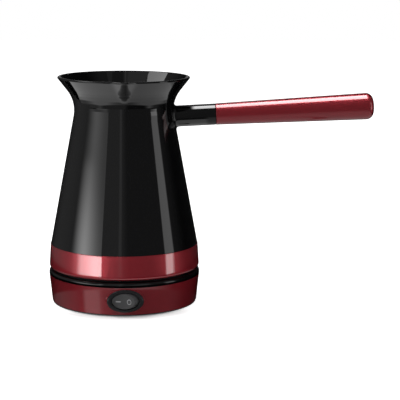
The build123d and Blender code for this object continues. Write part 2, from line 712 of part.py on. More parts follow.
with BuildPart() as cover_screws:
    flush_screws(COVER_PLACES, COVER_LOW_Z, COVER_SCREW)
finish(cover_screws, "cover_screws")

with BuildPart() as connector_screws:
    flush_screws(CUP_SCREW_PLACES, COVER_LOW_Z, CONNECTOR_SCREW)
finish(connector_screws, "connector_screws")

# --- Handle -------------------------------------------------------------------

# Red grip: a blind tapered tube with a rounded end.
GRIP_START = STUB_END + 0.1
GRIP_START_CHAMFER = 0.35
with BuildPart() as handle_grip:
    with BuildSketch(HANDLE_SIDE) as grip_outline:
        with BuildLine():
            Polyline(
                (GRIP_START, CORE_R),
                (GRIP_START, GRIP_START_R),
                (GRIP_END, GRIP_END_R),
                (GRIP_END, 0),
                (CORE_END + 1.0, 0),
                (CORE_END + 1.0, CORE_R),
                close=True,
            )
        make_face()
        fillet(corner(grip_outline, GRIP_END, GRIP_END_R), GRIP_CORNER)
        chamfer(corner(grip_outline, GRIP_START, GRIP_START_R), GRIP_START_CHAMFER)
    revolve(axis=HANDLE_AXIS)
finish(handle_grip, "handle_grip")

# Ribbed core: a cross section with round collars, plugged into pot and grip.
CORE_START = SOCKET_END + 0.5
CORE_COLLARS = (
    (CORE_START, HANDLE_SCREW_AT + 5, SOCKET_R),
    (STUB_END - 3, STUB_END, SOCKET_R),
    (STUB_END, STUB_END + 6, CORE_R),
    (120.0, 124.0, CORE_R),
    (CORE_END - 5, CORE_END, CORE_R),
)
with BuildPart() as handle_core:
    with BuildSketch(HANDLE_PLANE.offset(CORE_START)) as cross:
        Rectangle(2 * CORE_R, CORE_RIB)
        Rectangle(CORE_RIB, 2 * CORE_R)
        Circle(CORE_CROSS_R, mode=Mode.INTERSECT)
    extrude(amount=CORE_END - CORE_START)
    for start, end, collar_r in CORE_COLLARS:
        rod(collar_r, start, end)
    round_bar(HANDLE_SCREW_PLANE, HANDLE_SCREW_R, STUB_R + 2, mode=Mode.SUBTRACT)
finish(handle_core, "handle_core")

HEAD_AT = HANDLE_SCREW_SINK[1] - HANDLE_SCREW_HEAD[1]
with BuildPart() as handle_screw:
    round_bar(HANDLE_SCREW_PLANE.offset(HEAD_AT), *HANDLE_SCREW_HEAD)
    round_bar(HANDLE_SCREW_PLANE.offset(HANDLE_SCREW_SINK[1]), HANDLE_SCREW_R, STUB_R - 0.4)
    with BuildSketch(HANDLE_SCREW_PLANE.offset(HEAD_AT)):
        Rectangle(2.6, 0.6)
        Rectangle(0.6, 2.6)
    extrude(amount=0.6, mode=Mode.SUBTRACT)
finish(handle_screw, "handle_screw")

# --- Power base ---------------------------------------------------------------

# Red wall with the flat oval seat of the switch and the inlet of the mains lead.
SEAT_MARGIN = 0.8  # of the seat round the bezel
SEAT_DEPTH = 4.5
SEAT_EDGE = 0.5
HOLE_FIT = 0.1
with BuildPart() as base_shell:
    oval(BEZEL[0] + SEAT_MARGIN, BEZEL[1] + SEAT_MARGIN, SEAT_Y, SEAT_Y + SEAT_DEPTH)
    fillet(base_shell.edges().sort_by(Axis.Y)[:1], SEAT_EDGE)
    turned(
        [
            (BASE_LOW_R, BASE_LOW_Z),
            (BASE_R, BASE_SPLIT_Z),
            (BASE_R - BASE_WALL, BASE_SPLIT_Z),
            (BASE_LOW_R - BASE_WALL, BASE_LOW_Z),
        ]
    )
    hole = [half + HOLE_FIT for half in SWITCH_BODY]
    oval(*hole, SEAT_Y - 1, SWITCH_BACK_Y, mode=Mode.SUBTRACT)
    with BuildSketch(Plane.XZ.offset(-BASE_R - 2)) as inlet:
        with Locations((0, INLET_Z)):
            Circle(INLET_R)
        Rectangle(2 * INLET_R, 2 * INLET_Z)
    extrude(inlet.sketch, amount=10, mode=Mode.SUBTRACT)
finish(base_shell, "base_shell")

# Black top: rounded rim, shallow drip dish and a collar round the tower.
RIM_ROUND = 2.4
DISH_R = 45.0
DISH_Z = 25.0
COLLAR_R = 19.8
COLLAR_FOOT_R = 22.2
COLLAR_Z = 27.0
TOP_UNDER_Z = 23.0
LIP = (53.0, 54.8)
LIP_LOW_Z = 19.5
EAR_TOP_Z = 20.8
EAR_SHEET = 2.0
POST_LOW_Z = 7.0
TOP_RIB_ANGLES = range(0, 360, 60)
TOP_RIB_Z = 21.2
RIB_WIDTH = 1.5
with BuildPart() as base_top:
    with BuildSketch(Plane.XZ) as top_outline:
        with BuildLine():
            Polyline(
                (BASE_R, BASE_SPLIT_Z),
                (BASE_R - 0.1, BASE_TOP_Z),
                (DISH_R + 1.0, BASE_TOP_Z),
                (DISH_R, DISH_Z),
                (COLLAR_FOOT_R, DISH_Z),
                (COLLAR_R, COLLAR_Z),
                (TOWER_R + 0.2, COLLAR_Z),
                (TOWER_R + 0.2, TOP_UNDER_Z),
                (LIP[0], TOP_UNDER_Z),
                (LIP[0], LIP_LOW_Z),
                (LIP[1], LIP_LOW_Z),
                (LIP[1], BASE_SPLIT_Z),
                close=True,
            )
        make_face()
        fillet(corner(top_outline, BASE_R - 0.1, BASE_TOP_Z), RIM_ROUND)
    revolve(axis=Axis.Z)
    oval(BEZEL[0] + 0.9, BEZEL[1] + 0.9, SEAT_Y + 1, SWITCH_BACK_Y, mode=Mode.SUBTRACT)
    studs(POST_PLACES, 3.5, POST_LOW_Z, TOP_UNDER_Z)
    studs(POST_PLACES, PILOT_R, POST_LOW_Z, TOP_UNDER_Z - 4.0, mode=Mode.SUBTRACT)
    studs(TOWER_EARS, 3.0, EAR_TOP_Z, TOP_UNDER_Z)
    studs(TOWER_EARS, SMALL_PILOT_R, EAR_TOP_Z, DISH_Z - 0.8, mode=Mode.SUBTRACT)
    spokes(TOP_RIB_ANGLES, COLLAR_R + 0.2, LIP[0] + 0.2, RIB_WIDTH, TOP_RIB_Z, TOP_UNDER_Z)
finish(base_top, "base_top")

# Black lower cover with counterbored screw bosses, stiffening ribs and the groove
# of the foot ring.
FOOT = (46.5, 50.0)
FOOT_GROOVE_Z = 2.2
COVER_UP_Z = 3.4
BOTTOM_R = 54.9
BOTTOM_WALL = (51.2, 52.8)
BOTTOM_WALL_Z = 6.0
BOTTOM_RIB_ANGLES = range(0, 360, 45)
BOTTOM_RIBS = (10.0, 40.0)
BOTTOM_RIB_Z = 5.0
SCREW_SHELF_Z = 4.6
CUT_DEPTH = 6.0
with BuildPart() as base_bottom:
    turned(
        [
            (0, BASE_FLOOR_Z),
            (BOTTOM_R, BASE_FLOOR_Z),
            (BOTTOM_R, BASE_LOW_Z),
            (BOTTOM_WALL[1], BASE_LOW_Z),
            (BOTTOM_WALL[1], BOTTOM_WALL_Z),
            (BOTTOM_WALL[0], BOTTOM_WALL_Z),
            (BOTTOM_WALL[0], COVER_UP_Z),
            (0, COVER_UP_Z),
        ]
    )
    spokes(BOTTOM_RIB_ANGLES, *BOTTOM_RIBS, RIB_WIDTH, COVER_UP_Z, BOTTOM_RIB_Z)
    studs(POST_PLACES, 4.8, BASE_FLOOR_Z, POST_LOW_Z)
    studs(POST_PLACES, BASE_SCREW[0] + 0.5, BASE_FLOOR_Z, SCREW_SHELF_Z, mode=Mode.SUBTRACT)
    studs(POST_PLACES, BASE_SCREW[2] + 0.4, BASE_FLOOR_Z, POST_LOW_Z, mode=Mode.SUBTRACT)
    tube(*FOOT, BASE_FLOOR_Z, FOOT_GROOVE_Z, mode=Mode.SUBTRACT)
    # The wall is open for the switch in front and for the mains lead at the back
    wall_mid_r = sum(BOTTOM_WALL) / 2
    with BuildSketch(Plane.XY.offset(COVER_UP_Z)) as openings:
        with Locations((0, -wall_mid_r)):
            Rectangle(2 * BEZEL[0], CUT_DEPTH)
        with Locations((0, wall_mid_r)):
            Rectangle(2 * INLET_R, CUT_DEPTH)
    extrude(openings.sketch, amount=4, mode=Mode.SUBTRACT)
finish(base_bottom, "base_bottom")

with BuildPart() as foot_ring:
    tube(*FOOT, 0, FOOT_GROOVE_Z)
finish(foot_ring, "foot_ring")

with BuildPart() as base_screws:
    pan_screws(POST_PLACES, SCREW_SHELF_Z, BASE_SCREW)
finish(base_screws, "base_screws")

# Tower: it stands through the top and holds the three contacts in its slots.
# Name, radius of its ring, angle of its tab and arc of its leaf
CONTACTS = (("line_contact", LINE_RING_R, 60, 44), ("neutral_contact", NEUTRAL_RING_R, 210, 28))
TOWER_FLANGE_R = 19.5
TAB_OUT = 0.3  # a tab stands under the middle of its ring's sheet
EAR = (17.0, 25.0, 7.0)  # from, to and width


def contact_plane(low_z, angle):
    """A level plane turned to face one of the spring contacts."""
    return Plane.XY.offset(low_z).rotated((0, 0, angle))


with BuildPart() as base_connector:
    tube(0, TOWER_R, HOUSING_LOW_Z, TOWER_TOP_Z)
    chamfer(base_connector.edges().group_by(Axis.Z)[-1], 0.6)
    tube(0, TOWER_FLANGE_R, HOUSING_LOW_Z, TOP_UNDER_Z)
    spokes(EAR_ANGLES, *EAR, EAR_TOP_Z - EAR_SHEET, EAR_TOP_Z)
    studs(TOWER_EARS, EAR[2] / 2, EAR_TOP_Z - EAR_SHEET, EAR_TOP_Z)
    studs(TOWER_EARS, 1.3, EAR_TOP_Z - EAR_SHEET, EAR_TOP_Z, mode=Mode.SUBTRACT)
    tube(0, EARTH_BORE_R, SLOT_FLOOR_Z, TOWER_TOP_Z, mode=Mode.SUBTRACT)
    for _, ring_r, angle, _ in CONTACTS:
        tube(ring_r - 0.8, ring_r + 1.4, SLOT_FLOOR_Z, TOWER_TOP_Z, mode=Mode.SUBTRACT)
        with BuildSketch(contact_plane(HOUSING_LOW_Z, angle)) as tab_slot:
            with Locations((ring_r + TAB_OUT, 0)):
                Rectangle(TAB[1], TAB[0])
        extrude(tab_slot.sketch, amount=SLOT_FLOOR_Z - HOUSING_LOW_Z, mode=Mode.SUBTRACT)
    with BuildSketch(Plane.XY.offset(HOUSING_LOW_Z)) as earth_slot:
        Rectangle(*TAB)
    extrude(earth_slot.sketch, amount=SLOT_FLOOR_Z - HOUSING_LOW_Z, mode=Mode.SUBTRACT)
finish(base_connector, "base_connector")

# Earth contact: a slit sleeve on a floor disc, with a push-on tab below.
SLEEVE_TOP_Z = TOWER_TOP_Z - 0.6
SLEEVE_SHEET = 0.5
SLIT_LENGTH = 12.0
with BuildPart() as earth_contact:
    tube(0, EARTH_BORE_R, SLOT_FLOOR_Z, SLEEVE_TOP_Z)
    tube(0, EARTH_BORE_R - SLEEVE_SHEET, SLOT_FLOOR_Z + 0.8, TOWER_TOP_Z, mode=Mode.SUBTRACT)
    for slit_angle in (45, 135):
        with BuildSketch(contact_plane(SLOT_FLOOR_Z + 3.0, slit_angle)) as slit:
            Rectangle(8, 0.6)
        extrude(slit.sketch, amount=SLIT_LENGTH, mode=Mode.SUBTRACT)
    with BuildSketch(Plane.XY.offset(TAB_LOW_Z)) as earth_tab:
        Rectangle(*TAB)
    extrude(earth_tab.sketch, amount=SLOT_FLOOR_Z - TAB_LOW_Z)
finish(earth_contact, "earth_contact")

# Line and neutral contacts: a curved leaf inside each slot, with the same tab.
LEAF_IN = 0.75  # its inner face lies this far inside the ring's
LEAF = (0.4, 11.0)  # sheet and height
LEAF_FOOT = (1.9, 0.6)
for name, ring_r, angle, leaf_arc in CONTACTS:
    with BuildPart() as leaf_contact:
        leaf_plane = Plane.XZ.rotated((0, 0, angle - leaf_arc / 2))
        with BuildSketch(leaf_plane) as leaf:
            with Locations((ring_r - LEAF_IN, SLOT_FLOOR_Z)):
                Rectangle(*LEAF, align=(Align.MIN, Align.MIN))
                Rectangle(*LEAF_FOOT, align=(Align.MIN, Align.MIN))
        revolve(leaf.sketch, axis=Axis.Z, revolution_arc=leaf_arc)
        with BuildSketch(contact_plane(TAB_LOW_Z, angle)) as tab:
            with Locations((ring_r + TAB_OUT, 0)):
                Rectangle(TAB[1], TAB[0])
        extrude(tab.sketch, amount=SLOT_FLOOR_Z - TAB_LOW_Z)
    finish(leaf_contact, name)

with BuildPart() as tower_screws:
    pan_screws(TOWER_EARS, EAR_TOP_Z - EAR_SHEET, TOWER_SCREW)
finish(tower_screws, "tower_screws")

# --- Rocker switch ------------------------------------------------------------

LIP_BACK_Y = ROCKER_Y - LIP_BACK
BEZEL_FRONT_Y = SEAT_Y - BEZEL_DEPTH
BEZEL_ROUND = 1.3
OPENING_CHAMFER = 0.3
SWITCH_FLOOR = 2.0
TERMINAL_XS = (0, OUT_TERMINAL_X)

with BuildPart() as switch_housing:
    oval(*BEZEL, SEAT_Y, BEZEL_FRONT_Y)
    fillet(switch_housing.edges().sort_by(Axis.Y)[:1], BEZEL_ROUND)
    oval(*SWITCH_BODY, SWITCH_BACK_Y, SEAT_Y)
    oval(*SWITCH_OPENING, SWITCH_BACK_Y - SWITCH_FLOOR, BEZEL_FRONT_Y, mode=Mode.SUBTRACT)
    inner_edge = switch_housing.edges().filter_by(lambda e: e.center().Y < BEZEL_FRONT_Y + SMALL)
    chamfer(inner_edge, OPENING_CHAMFER)
    oval(*SWITCH_CAVITY, SWITCH_BACK_Y - SWITCH_FLOOR, LIP_BACK_Y, mode=Mode.SUBTRACT)
    # Bearing holes of the rocker, and slots for the terminals through the back
    with BuildSketch(Plane.XY.offset(SWITCH_Z - SWITCH_BODY[1] - 1)) as bearing:
        with Locations((0, ROCKER_Y)):
            Circle(ROCKER_PIN_R + PIN_CLEARANCE)
    extrude(bearing.sketch, amount=2 * SWITCH_BODY[1] + 2, mode=Mode.SUBTRACT)
    with BuildSketch(Plane.XZ.offset(-SWITCH_BACK_Y)) as slots:
        with Locations(*[(x, SWITCH_Z) for x in TERMINAL_XS]):
            Rectangle(TAB[1], TAB[0])
    extrude(slots.sketch, amount=SWITCH_FLOOR, mode=Mode.SUBTRACT)
finish(switch_housing, "switch_housing")

# The rocker's sides are turned about its pivot, so the gap in the oval opening
# stays even while it tips. It is drawn with its left end pressed in: switched on.
LIP_HALF_W = SWITCH_OPENING[0] - ROCKER_GAP
ROCKER_R = sqrt(LIP_HALF_W**2 + LIP_BACK**2)
ROCKER_SEMI_H = ROCKER_HALF_H * ROCKER_R / LIP_HALF_W
EDGE = radians(ROCKER_EDGE_ANGLE)
EDGE_X = ROCKER_R * sin(EDGE)
EDGE_Y = -ROCKER_R * cos(EDGE)
FACE_HOLLOW = 0.8
FACE_ROUND = 0.4
ROCKER_BACK = 1.6  # these are distances behind the pivot
HOLLOW_FRONT = -3.0
GUIDE_FRONT = -3.2
HOLLOW = (7.8, 4.3)
GUIDE_R = 2.1
GUIDE_BORE_R = 1.3
GUIDE_END = 4.6
SPRING = (0.75, 1.15)  # inner and outer radius of the coil
SPRING_END = 2.0
PLUNGER_R = 1.2
PLUNGER_TIP = 0.9
PLUNGER_END = 7.2
ROCKER_PLANE = Plane(
    origin=(0, ROCKER_Y, SWITCH_Z),
    x_dir=(cos(radians(ROCKER_TRAVEL / 2)), -sin(radians(ROCKER_TRAVEL / 2)), 0),
    z_dir=(0, 0, 1),
)
ROCKER_BACK_PLANE = Plane(origin=ROCKER_PLANE.origin, x_dir=ROCKER_PLANE.x_dir, z_dir=ROCKER_PLANE.y_dir)
ROCKER_TURN_PLANE = Plane(origin=ROCKER_PLANE.origin, x_dir=ROCKER_PLANE.x_dir, z_dir=-ROCKER_PLANE.y_dir)

with BuildPart() as rocker:
    with BuildSketch(ROCKER_TURN_PLANE) as barrel:
        Ellipse(ROCKER_R, ROCKER_SEMI_H)
        Rectangle(2 * ROCKER_R, 2 * ROCKER_HALF_H, mode=Mode.INTERSECT)
        with Locations((-ROCKER_R, 0)):
            Rectangle(2 * ROCKER_R, 4 * ROCKER_R, mode=Mode.SUBTRACT)
    revolve(barrel.sketch, axis=Axis(ROCKER_PLANE.origin, (0, 0, 1)))
    past_r = ROCKER_R + 3.5
    with BuildSketch(ROCKER_PLANE.offset(-ROCKER_HALF_H)) as face_profile:
        with BuildLine():
            face_arc = ThreePointArc((-EDGE_X, EDGE_Y), (0, EDGE_Y + FACE_HOLLOW), (EDGE_X, EDGE_Y))
            Polyline(
                face_arc @ 1,
                (past_r, EDGE_Y),
                (past_r, ROCKER_BACK),
                (-past_r, ROCKER_BACK),
                (-past_r, EDGE_Y),
                face_arc @ 0,
            )
        make_face()
    extrude(face_profile.sketch, amount=2 * ROCKER_HALF_H, mode=Mode.INTERSECT)
    rims = rocker.edges().filter_by(GeomType.LINE, reverse=True)
    fillet(rims.filter_by(lambda e: ROCKER_PLANE.to_local_coords(e.center()).Y < -4), FACE_ROUND)
    # Hollow behind, with the guide tube of the plunger in the middle
    with BuildSketch(ROCKER_BACK_PLANE.offset(ROCKER_BACK)) as hollow:
        Ellipse(*HOLLOW)
    extrude(hollow.sketch, amount=HOLLOW_FRONT - ROCKER_BACK, mode=Mode.SUBTRACT)
    round_bar(ROCKER_BACK_PLANE.offset(GUIDE_FRONT), GUIDE_R, GUIDE_END - GUIDE_FRONT)
    bore_length = GUIDE_END - HOLLOW_FRONT + 0.1
    round_bar(ROCKER_BACK_PLANE.offset(HOLLOW_FRONT), GUIDE_BORE_R, bore_length, mode=Mode.SUBTRACT)
    pin_end = SWITCH_CAVITY[1] + 0.9
    for pin_start in (-pin_end, ROCKER_HALF_H):
        round_bar(ROCKER_PLANE.offset(pin_start), ROCKER_PIN_R, pin_end - ROCKER_HALF_H)
finish(rocker, "rocker")

with BuildPart() as switch_plunger:
    round_bar(ROCKER_BACK_PLANE.offset(SPRING_END), PLUNGER_R, PLUNGER_END - SPRING_END)
    tip = switch_plunger.edges().sort_by(Axis(ROCKER_BACK_PLANE.origin, ROCKER_BACK_PLANE.z_dir))[-1:]
    fillet(tip, PLUNGER_TIP)
finish(switch_plunger, "switch_plunger")

# Spring of the plunger, drawn as the tube that its coils fill.
with BuildPart() as plunger_spring:
    with BuildSketch(ROCKER_BACK_PLANE.offset(HOLLOW_FRONT)) as coil:
        Circle(SPRING[1])
        Circle(SPRING[0], mode=Mode.SUBTRACT)
    extrude(coil.sketch, amount=SPRING_END - HOLLOW_FRONT)
finish(plunger_spring, "plunger_spring")

# Tipping blade: a shallow V of brass that pivots on the middle terminal.
BLADE_HALF = 7.5
BLADE_FLAT = 2.0
BLADE_SHEET = 0.5
BLADE_WIDTH = 4.0
BLADE_PLANE = Plane(
    origin=(0, BLADE_Y, SWITCH_Z - BLADE_WIDTH / 2),
    x_dir=(cos(radians(BLADE_TILT)), sin(radians(BLADE_TILT)), 0),
    z_dir=(0, 0, 1),
)
with BuildPart() as switch_blade:
    with BuildSketch(BLADE_PLANE) as blade_outline:
        with BuildLine():
            front = [(BLADE_FLAT, 0), (BLADE_HALF, -BLADE_SHEET)]
            right_half = front + [(BLADE_HALF, 0), (BLADE_FLAT, BLADE_SHEET)]
            left_half = [(-x, y) for x, y in reversed(right_half)]
            Polyline(*right_half, *left_half, close=True)
        make_face()
    extrude(amount=BLADE_WIDTH)
finish(switch_blade, "switch_blade")

# Two push-on terminals: the middle one carries the blade, the right one its contact.
TERMINAL_FRONTS = (BLADE_Y + 0.85, BLADE_Y + 1.6)
TERMINAL_END_Y = SWITCH_BACK_Y + 8.0
with BuildPart() as switch_terminals:
    for x, front_y in zip(TERMINAL_XS, TERMINAL_FRONTS):
        with BuildSketch(Plane.XZ.offset(-front_y)) as terminal:
            with Locations((x, SWITCH_Z)):
                Rectangle(TAB[1], TAB[0])
        extrude(terminal.sketch, amount=front_y - TERMINAL_END_Y)
finish(switch_terminals, "switch_terminals")

# --- Lead from the switch to the line contact -----------------------------------

LINE_TAB_ANGLE = radians(CONTACTS[0][2])
LINE_TAB_OUT = Vector(cos(LINE_TAB_ANGLE), sin(LINE_TAB_ANGLE), 0) * (LINE_RING_R + TAB_OUT)
LINE_TAB_ALONG = Vector(sin(LINE_TAB_ANGLE), -cos(LINE_TAB_ANGLE), 0)
LINE_BARREL_Z = TAB_LOW_Z + 1.0
LINE_BARREL_START = LINE_TAB_OUT + LINE_TAB_ALONG * (RECEPTACLE[0] / 2 - 0.1) + Vector(0, 0, LINE_BARREL_Z)
SWITCH_TIP = Vector(OUT_TERMINAL_X, TERMINAL_END_Y, SWITCH_Z)
SWITCH_BARREL_START = SWITCH_TIP + Vector(0, RECEPTACLE_STOP, 0)

with BuildPart() as base_receptacles:
    receptacle(
        Plane(origin=SWITCH_TIP, x_dir=(0, 0, 1), z_dir=(0, 1, 0)),
        Plane(origin=SWITCH_BARREL_START, z_dir=(0, 1, 0)),
    )
    receptacle(
        Plane(origin=LINE_TAB_OUT + Vector(0, 0, TAB_LOW_Z), x_dir=LINE_TAB_ALONG, z_dir=(0, 0, -1)),
        Plane(origin=LINE_BARREL_START, z_dir=LINE_TAB_ALONG),
    )
finish(base_receptacles, "base_receptacles")

with BuildPart() as switch_lead:
    lead(
        LEAD_R,
        [
            SWITCH_BARREL_START + Vector(0, BARREL_LENGTH, 0),
            (OUT_TERMINAL_X, -24.8, SWITCH_Z),
            (12.5, -18.5, 11.4),
            (16.5, -9.0, 10.0),
            LINE_BARREL_START + LINE_TAB_ALONG * (BARREL_LENGTH + 6.9),
            LINE_BARREL_START + LINE_TAB_ALONG * BARREL_LENGTH,
        ],
    )
finish(switch_lead, "switch_lead")
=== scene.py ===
# %% [markdown]
# # An electric Turkish coffee maker
# A small gloss black pot with a red band stands on a round power base. A long
# handle with a red grip leaves its neck, and a rocker switch sits in the base.
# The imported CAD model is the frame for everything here: its parts keep their size
# and place, and this lesson gives them the surfaces that one sees and touches.

# %% Load the frame
from math import atan2, ceil, cos, degrees, hypot, pi, radians, sin, sqrt, tan

import bpy
from mathutils import Matrix, Vector


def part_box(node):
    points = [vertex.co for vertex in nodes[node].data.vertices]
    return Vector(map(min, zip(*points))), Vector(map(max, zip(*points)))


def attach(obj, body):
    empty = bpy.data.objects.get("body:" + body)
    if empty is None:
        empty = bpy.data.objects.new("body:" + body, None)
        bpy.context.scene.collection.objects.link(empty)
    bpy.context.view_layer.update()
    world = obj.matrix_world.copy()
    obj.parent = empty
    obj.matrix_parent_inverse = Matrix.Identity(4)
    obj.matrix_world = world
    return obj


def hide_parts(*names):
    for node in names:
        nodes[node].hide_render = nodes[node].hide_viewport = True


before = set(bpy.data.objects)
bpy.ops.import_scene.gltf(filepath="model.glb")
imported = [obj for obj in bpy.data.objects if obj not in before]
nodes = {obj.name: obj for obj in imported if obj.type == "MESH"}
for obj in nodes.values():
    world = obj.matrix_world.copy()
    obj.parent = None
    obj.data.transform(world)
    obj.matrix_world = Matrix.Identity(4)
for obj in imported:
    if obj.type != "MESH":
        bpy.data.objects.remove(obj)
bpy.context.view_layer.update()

# %% [markdown]
# ## Units and a few sizes from the frame
# A drawing of such a product is in millimetres and Blender works in metres, so
# every outline below is written in millimetres and scaled once, when it becomes a
# mesh. Sizes that a CAD part already holds are read from that part's own box.

# %% Sizes read from the CAD parts
MM = 0.001


def box_mm(node):
    """Lowest and highest corner of a CAD node, in millimetres."""
    low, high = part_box(node)
    return low / MM, high / MM


SKIRT_LOW_Z, RIM_Z = (corner.z for corner in box_mm("pot_shell"))
BAND_LOW_Z, BAND_TOP_Z = (corner.z for corner in box_mm("trim_ring"))
BAND_R = box_mm("trim_ring")[1].x
BASE_R = box_mm("base_top")[1].x
BASE_LOW_Z, BASE_SPLIT_Z = (corner.z for corner in box_mm("base_shell"))
PLATE_FLANGE_R = box_mm("heating_plate")[1].x
PLATE_TOP_Z = box_mm("heating_plate")[1].z
BEZEL_FRONT_Y = box_mm("switch_housing")[0].y
SWITCH_BACK_Y = box_mm("switch_housing")[1].y
SWITCH_Z = sum(corner.z for corner in box_mm("switch_housing")) / 2
print("rim at", round(RIM_Z, 1), "mm, band", round(BAND_LOW_Z, 1), "to", round(BAND_TOP_Z, 1), "mm")

# %% [markdown]
# ## Outlines with rounded corners
# Most of this object is turned, as on a lathe, so its shape is an outline. Each
# corner carries its own radius and becomes an arc. A guard point a little way along
# each straight side keeps the smooth shading of the arc from bleeding into the flat,
# which on gloss black would bend every reflection.

# %% Rounded outlines
ARC_STEP = 7.0
GUARD = 0.35


def rounded(corners):
    """A closed outline in mm through (across, up, radius) corners, with their arcs."""
    points = []
    for i, (across, up, radius) in enumerate(corners):
        here = Vector((across, up))
        if not radius:
            points.append(here)
            continue
        back = Vector(corners[i - 1][:2]) - here
        ahead = Vector(corners[(i + 1) % len(corners)][:2]) - here
        half = back.angle(ahead) / 2
        reach = radius / tan(half)
        start = here + back.normalized() * reach
        end = here + ahead.normalized() * reach
        centre = here + (back.normalized() + ahead.normalized()).normalized() * radius / sin(half)
        first = atan2(*(start - centre).yx)
        sweep = (atan2(*(end - centre).yx) - first + pi) % (2 * pi) - pi
        count = max(3, ceil(degrees(abs(sweep)) / ARC_STEP))
        if back.length - reach > 2 * GUARD:
            points.append(start + back.normalized() * GUARD)
        for k in range(count + 1):
            angle = first + sweep * k / count
            points.append(centre + Vector((cos(angle), sin(angle))) * radius)
        if ahead.length - reach > 2 * GUARD:
            points.append(end + ahead.normalized() * GUARD)
    return points


def divided(points, longest, low, high):
    """The same outline with no step longer than this between two heights."""
    finer = []
    for here, ahead in zip(points, points[1:] + points[:1]):
        finer.append(here)
        if min(here.y, ahead.y) < low or max(here.y, ahead.y) > high:
            continue
        count = ceil((ahead - here).length / longest)
        finer += [here.lerp(ahead, k / count) for k in range(1, count)]
    return finer


# %% [markdown]
# ## A lathe
# On a real lathe the tool follows an outline while the work turns. Here one vertex
# is extruded along the outline and the profile is spun about Z. The spin may run in
# several stretches, with finer steps where a shape needs them. The seam and the pole
# are merged before the normals are made to agree.

# %% Spin an outline
MERGE = 0.004 * MM
SMOOTH = radians(32)
ROUND = [(360, 180)]


def started(name, add, **settings):
    """A new piece from one of Blender's own shapes, alone in the selection."""
    bpy.ops.object.select_all(action="DESELECT")
    add(**settings)
    piece = bpy.context.object
    piece.name = piece.data.name = name
    return piece


def select_only(piece):
    bpy.ops.object.select_all(action="DESELECT")
    piece.select_set(True)
    bpy.context.view_layer.objects.active = piece


def close_seams(piece):
    """Merge what lies in one place, turn the faces outwards and shade by angle."""
    select_only(piece)
    bpy.ops.object.mode_set(mode="EDIT")
    bpy.ops.mesh.select_all(action="SELECT")
    bpy.ops.mesh.remove_doubles(threshold=MERGE)
    bpy.ops.mesh.normals_make_consistent(inside=False)
    bpy.ops.object.mode_set(mode="OBJECT")
    bpy.ops.object.shade_smooth_by_angle(angle=SMOOTH)
    print(piece.name, len(piece.data.polygons), "faces")
    return piece


def spun(name, outline, turns=ROUND, start=0.0):
    """A turned piece: outline in mm as (radius, height), turns as (degrees, steps)."""
    piece = started(name, bpy.ops.mesh.primitive_circle_add, vertices=3, radius=MM)
    bpy.ops.object.mode_set(mode="EDIT")
    bpy.ops.mesh.select_all(action="SELECT")
    bpy.ops.mesh.merge(type="CENTER")
    away = Vector((cos(radians(start)), sin(radians(start)), 0)) * MM
    path = [away * point.x + Vector((0, 0, point.y)) * MM for point in outline]
    bpy.ops.transform.translate(value=path[0])
    for here, ahead in zip(path, path[1:] + path[:1]):
        bpy.ops.mesh.extrude_vertices_move(TRANSFORM_OT_translate={"value": ahead - here})
    bpy.ops.mesh.select_all(action="SELECT")
    for angle, steps in turns:
        bpy.ops.mesh.spin(steps=steps, angle=radians(angle), center=(0, 0, 0), axis=(0, 0, 1))
    bpy.ops.object.mode_set(mode="OBJECT")
    return close_seams(piece)


# %% [markdown]
# ## The pot body
# The pot is one moulding of gloss black plastic: a cone that narrows to a soft neck
# and opens into a wide flare. Its wall is drawn as one closed outline, out and up the
# outside, over the rounded rim and down the inside to the ledge that holds the
# heating plate. The skirt below the ledge hides behind the red band.

# %% Turn the pot
POT_WALL = 2.2
BODY_ANGLE = radians(10.48)
FLARE_ANGLE = radians(38.1)
BODY_R = 55.92
RIM_R = 50.8
NECK_ROUND = 24.3
RIM_ROUND = 0.9
LEDGE_TOP_Z, LEDGE_Z, LEDGE_IN_R = 44.5, 42.5, 40.9
SKIRT_R, SKIRT_IN_R = 54.2, 52.0


def body_line(inset, z):
    """Radius of the body cone at a height, inset from the outer face of the wall."""
    return BODY_R - inset / cos(BODY_ANGLE) - tan(BODY_ANGLE) * (z - BAND_TOP_Z)


def flare_line(inset, z):
    """Radius of the flared mouth at a height."""
    return RIM_R - inset / cos(FLARE_ANGLE) - tan(FLARE_ANGLE) * (RIM_Z - z)


def neck_corner(inset):
    """Where the lines of body and flare meet, with the radius that rounds them."""
    apart = body_line(inset, 0) - flare_line(inset, 0)
    z = apart / (tan(BODY_ANGLE) + tan(FLARE_ANGLE))
    return body_line(inset, z), z, NECK_ROUND + inset


SPOUT_LOW_Z = 148.0
pot_corners = [
    (BODY_R, BAND_TOP_Z, 0),
    neck_corner(0),
    (RIM_R, RIM_Z, RIM_ROUND),
    (flare_line(POT_WALL, RIM_Z), RIM_Z, RIM_ROUND),
    neck_corner(POT_WALL),
    (body_line(POT_WALL, LEDGE_TOP_Z), LEDGE_TOP_Z, 0),
    (LEDGE_IN_R, LEDGE_TOP_Z, 0),
    (LEDGE_IN_R, LEDGE_Z, 0),
    (SKIRT_IN_R, LEDGE_Z, 0),
    (SKIRT_IN_R, SKIRT_LOW_Z, 0),
    (SKIRT_R, SKIRT_LOW_Z, 0),
    (SKIRT_R, BAND_TOP_Z, 0),
]
pot_outline = divided(rounded(pot_corners), 0.7, SPOUT_LOW_Z, RIM_Z)
SPOUT_REACH = 18
finer_at_spout = [(2 * SPOUT_REACH, 110), (360 - 2 * SPOUT_REACH, 162)]
pot = spun("pot_body", pot_outline, finer_at_spout, start=-90 - SPOUT_REACH)

# %% [markdown]
# ## The pouring spout
# The spout is a rounded V that leans out of the flare, pressed into the wall so that
# it shows inside and outside. A boolean would leave slivers that gloss black shows at
# once, so the turned mesh is pushed out instead: each vertex moves away from the axis
# until it lies on the V wherever the V stands outside the flare. A small blend where
# the two meet makes the soft crease of a real moulding.

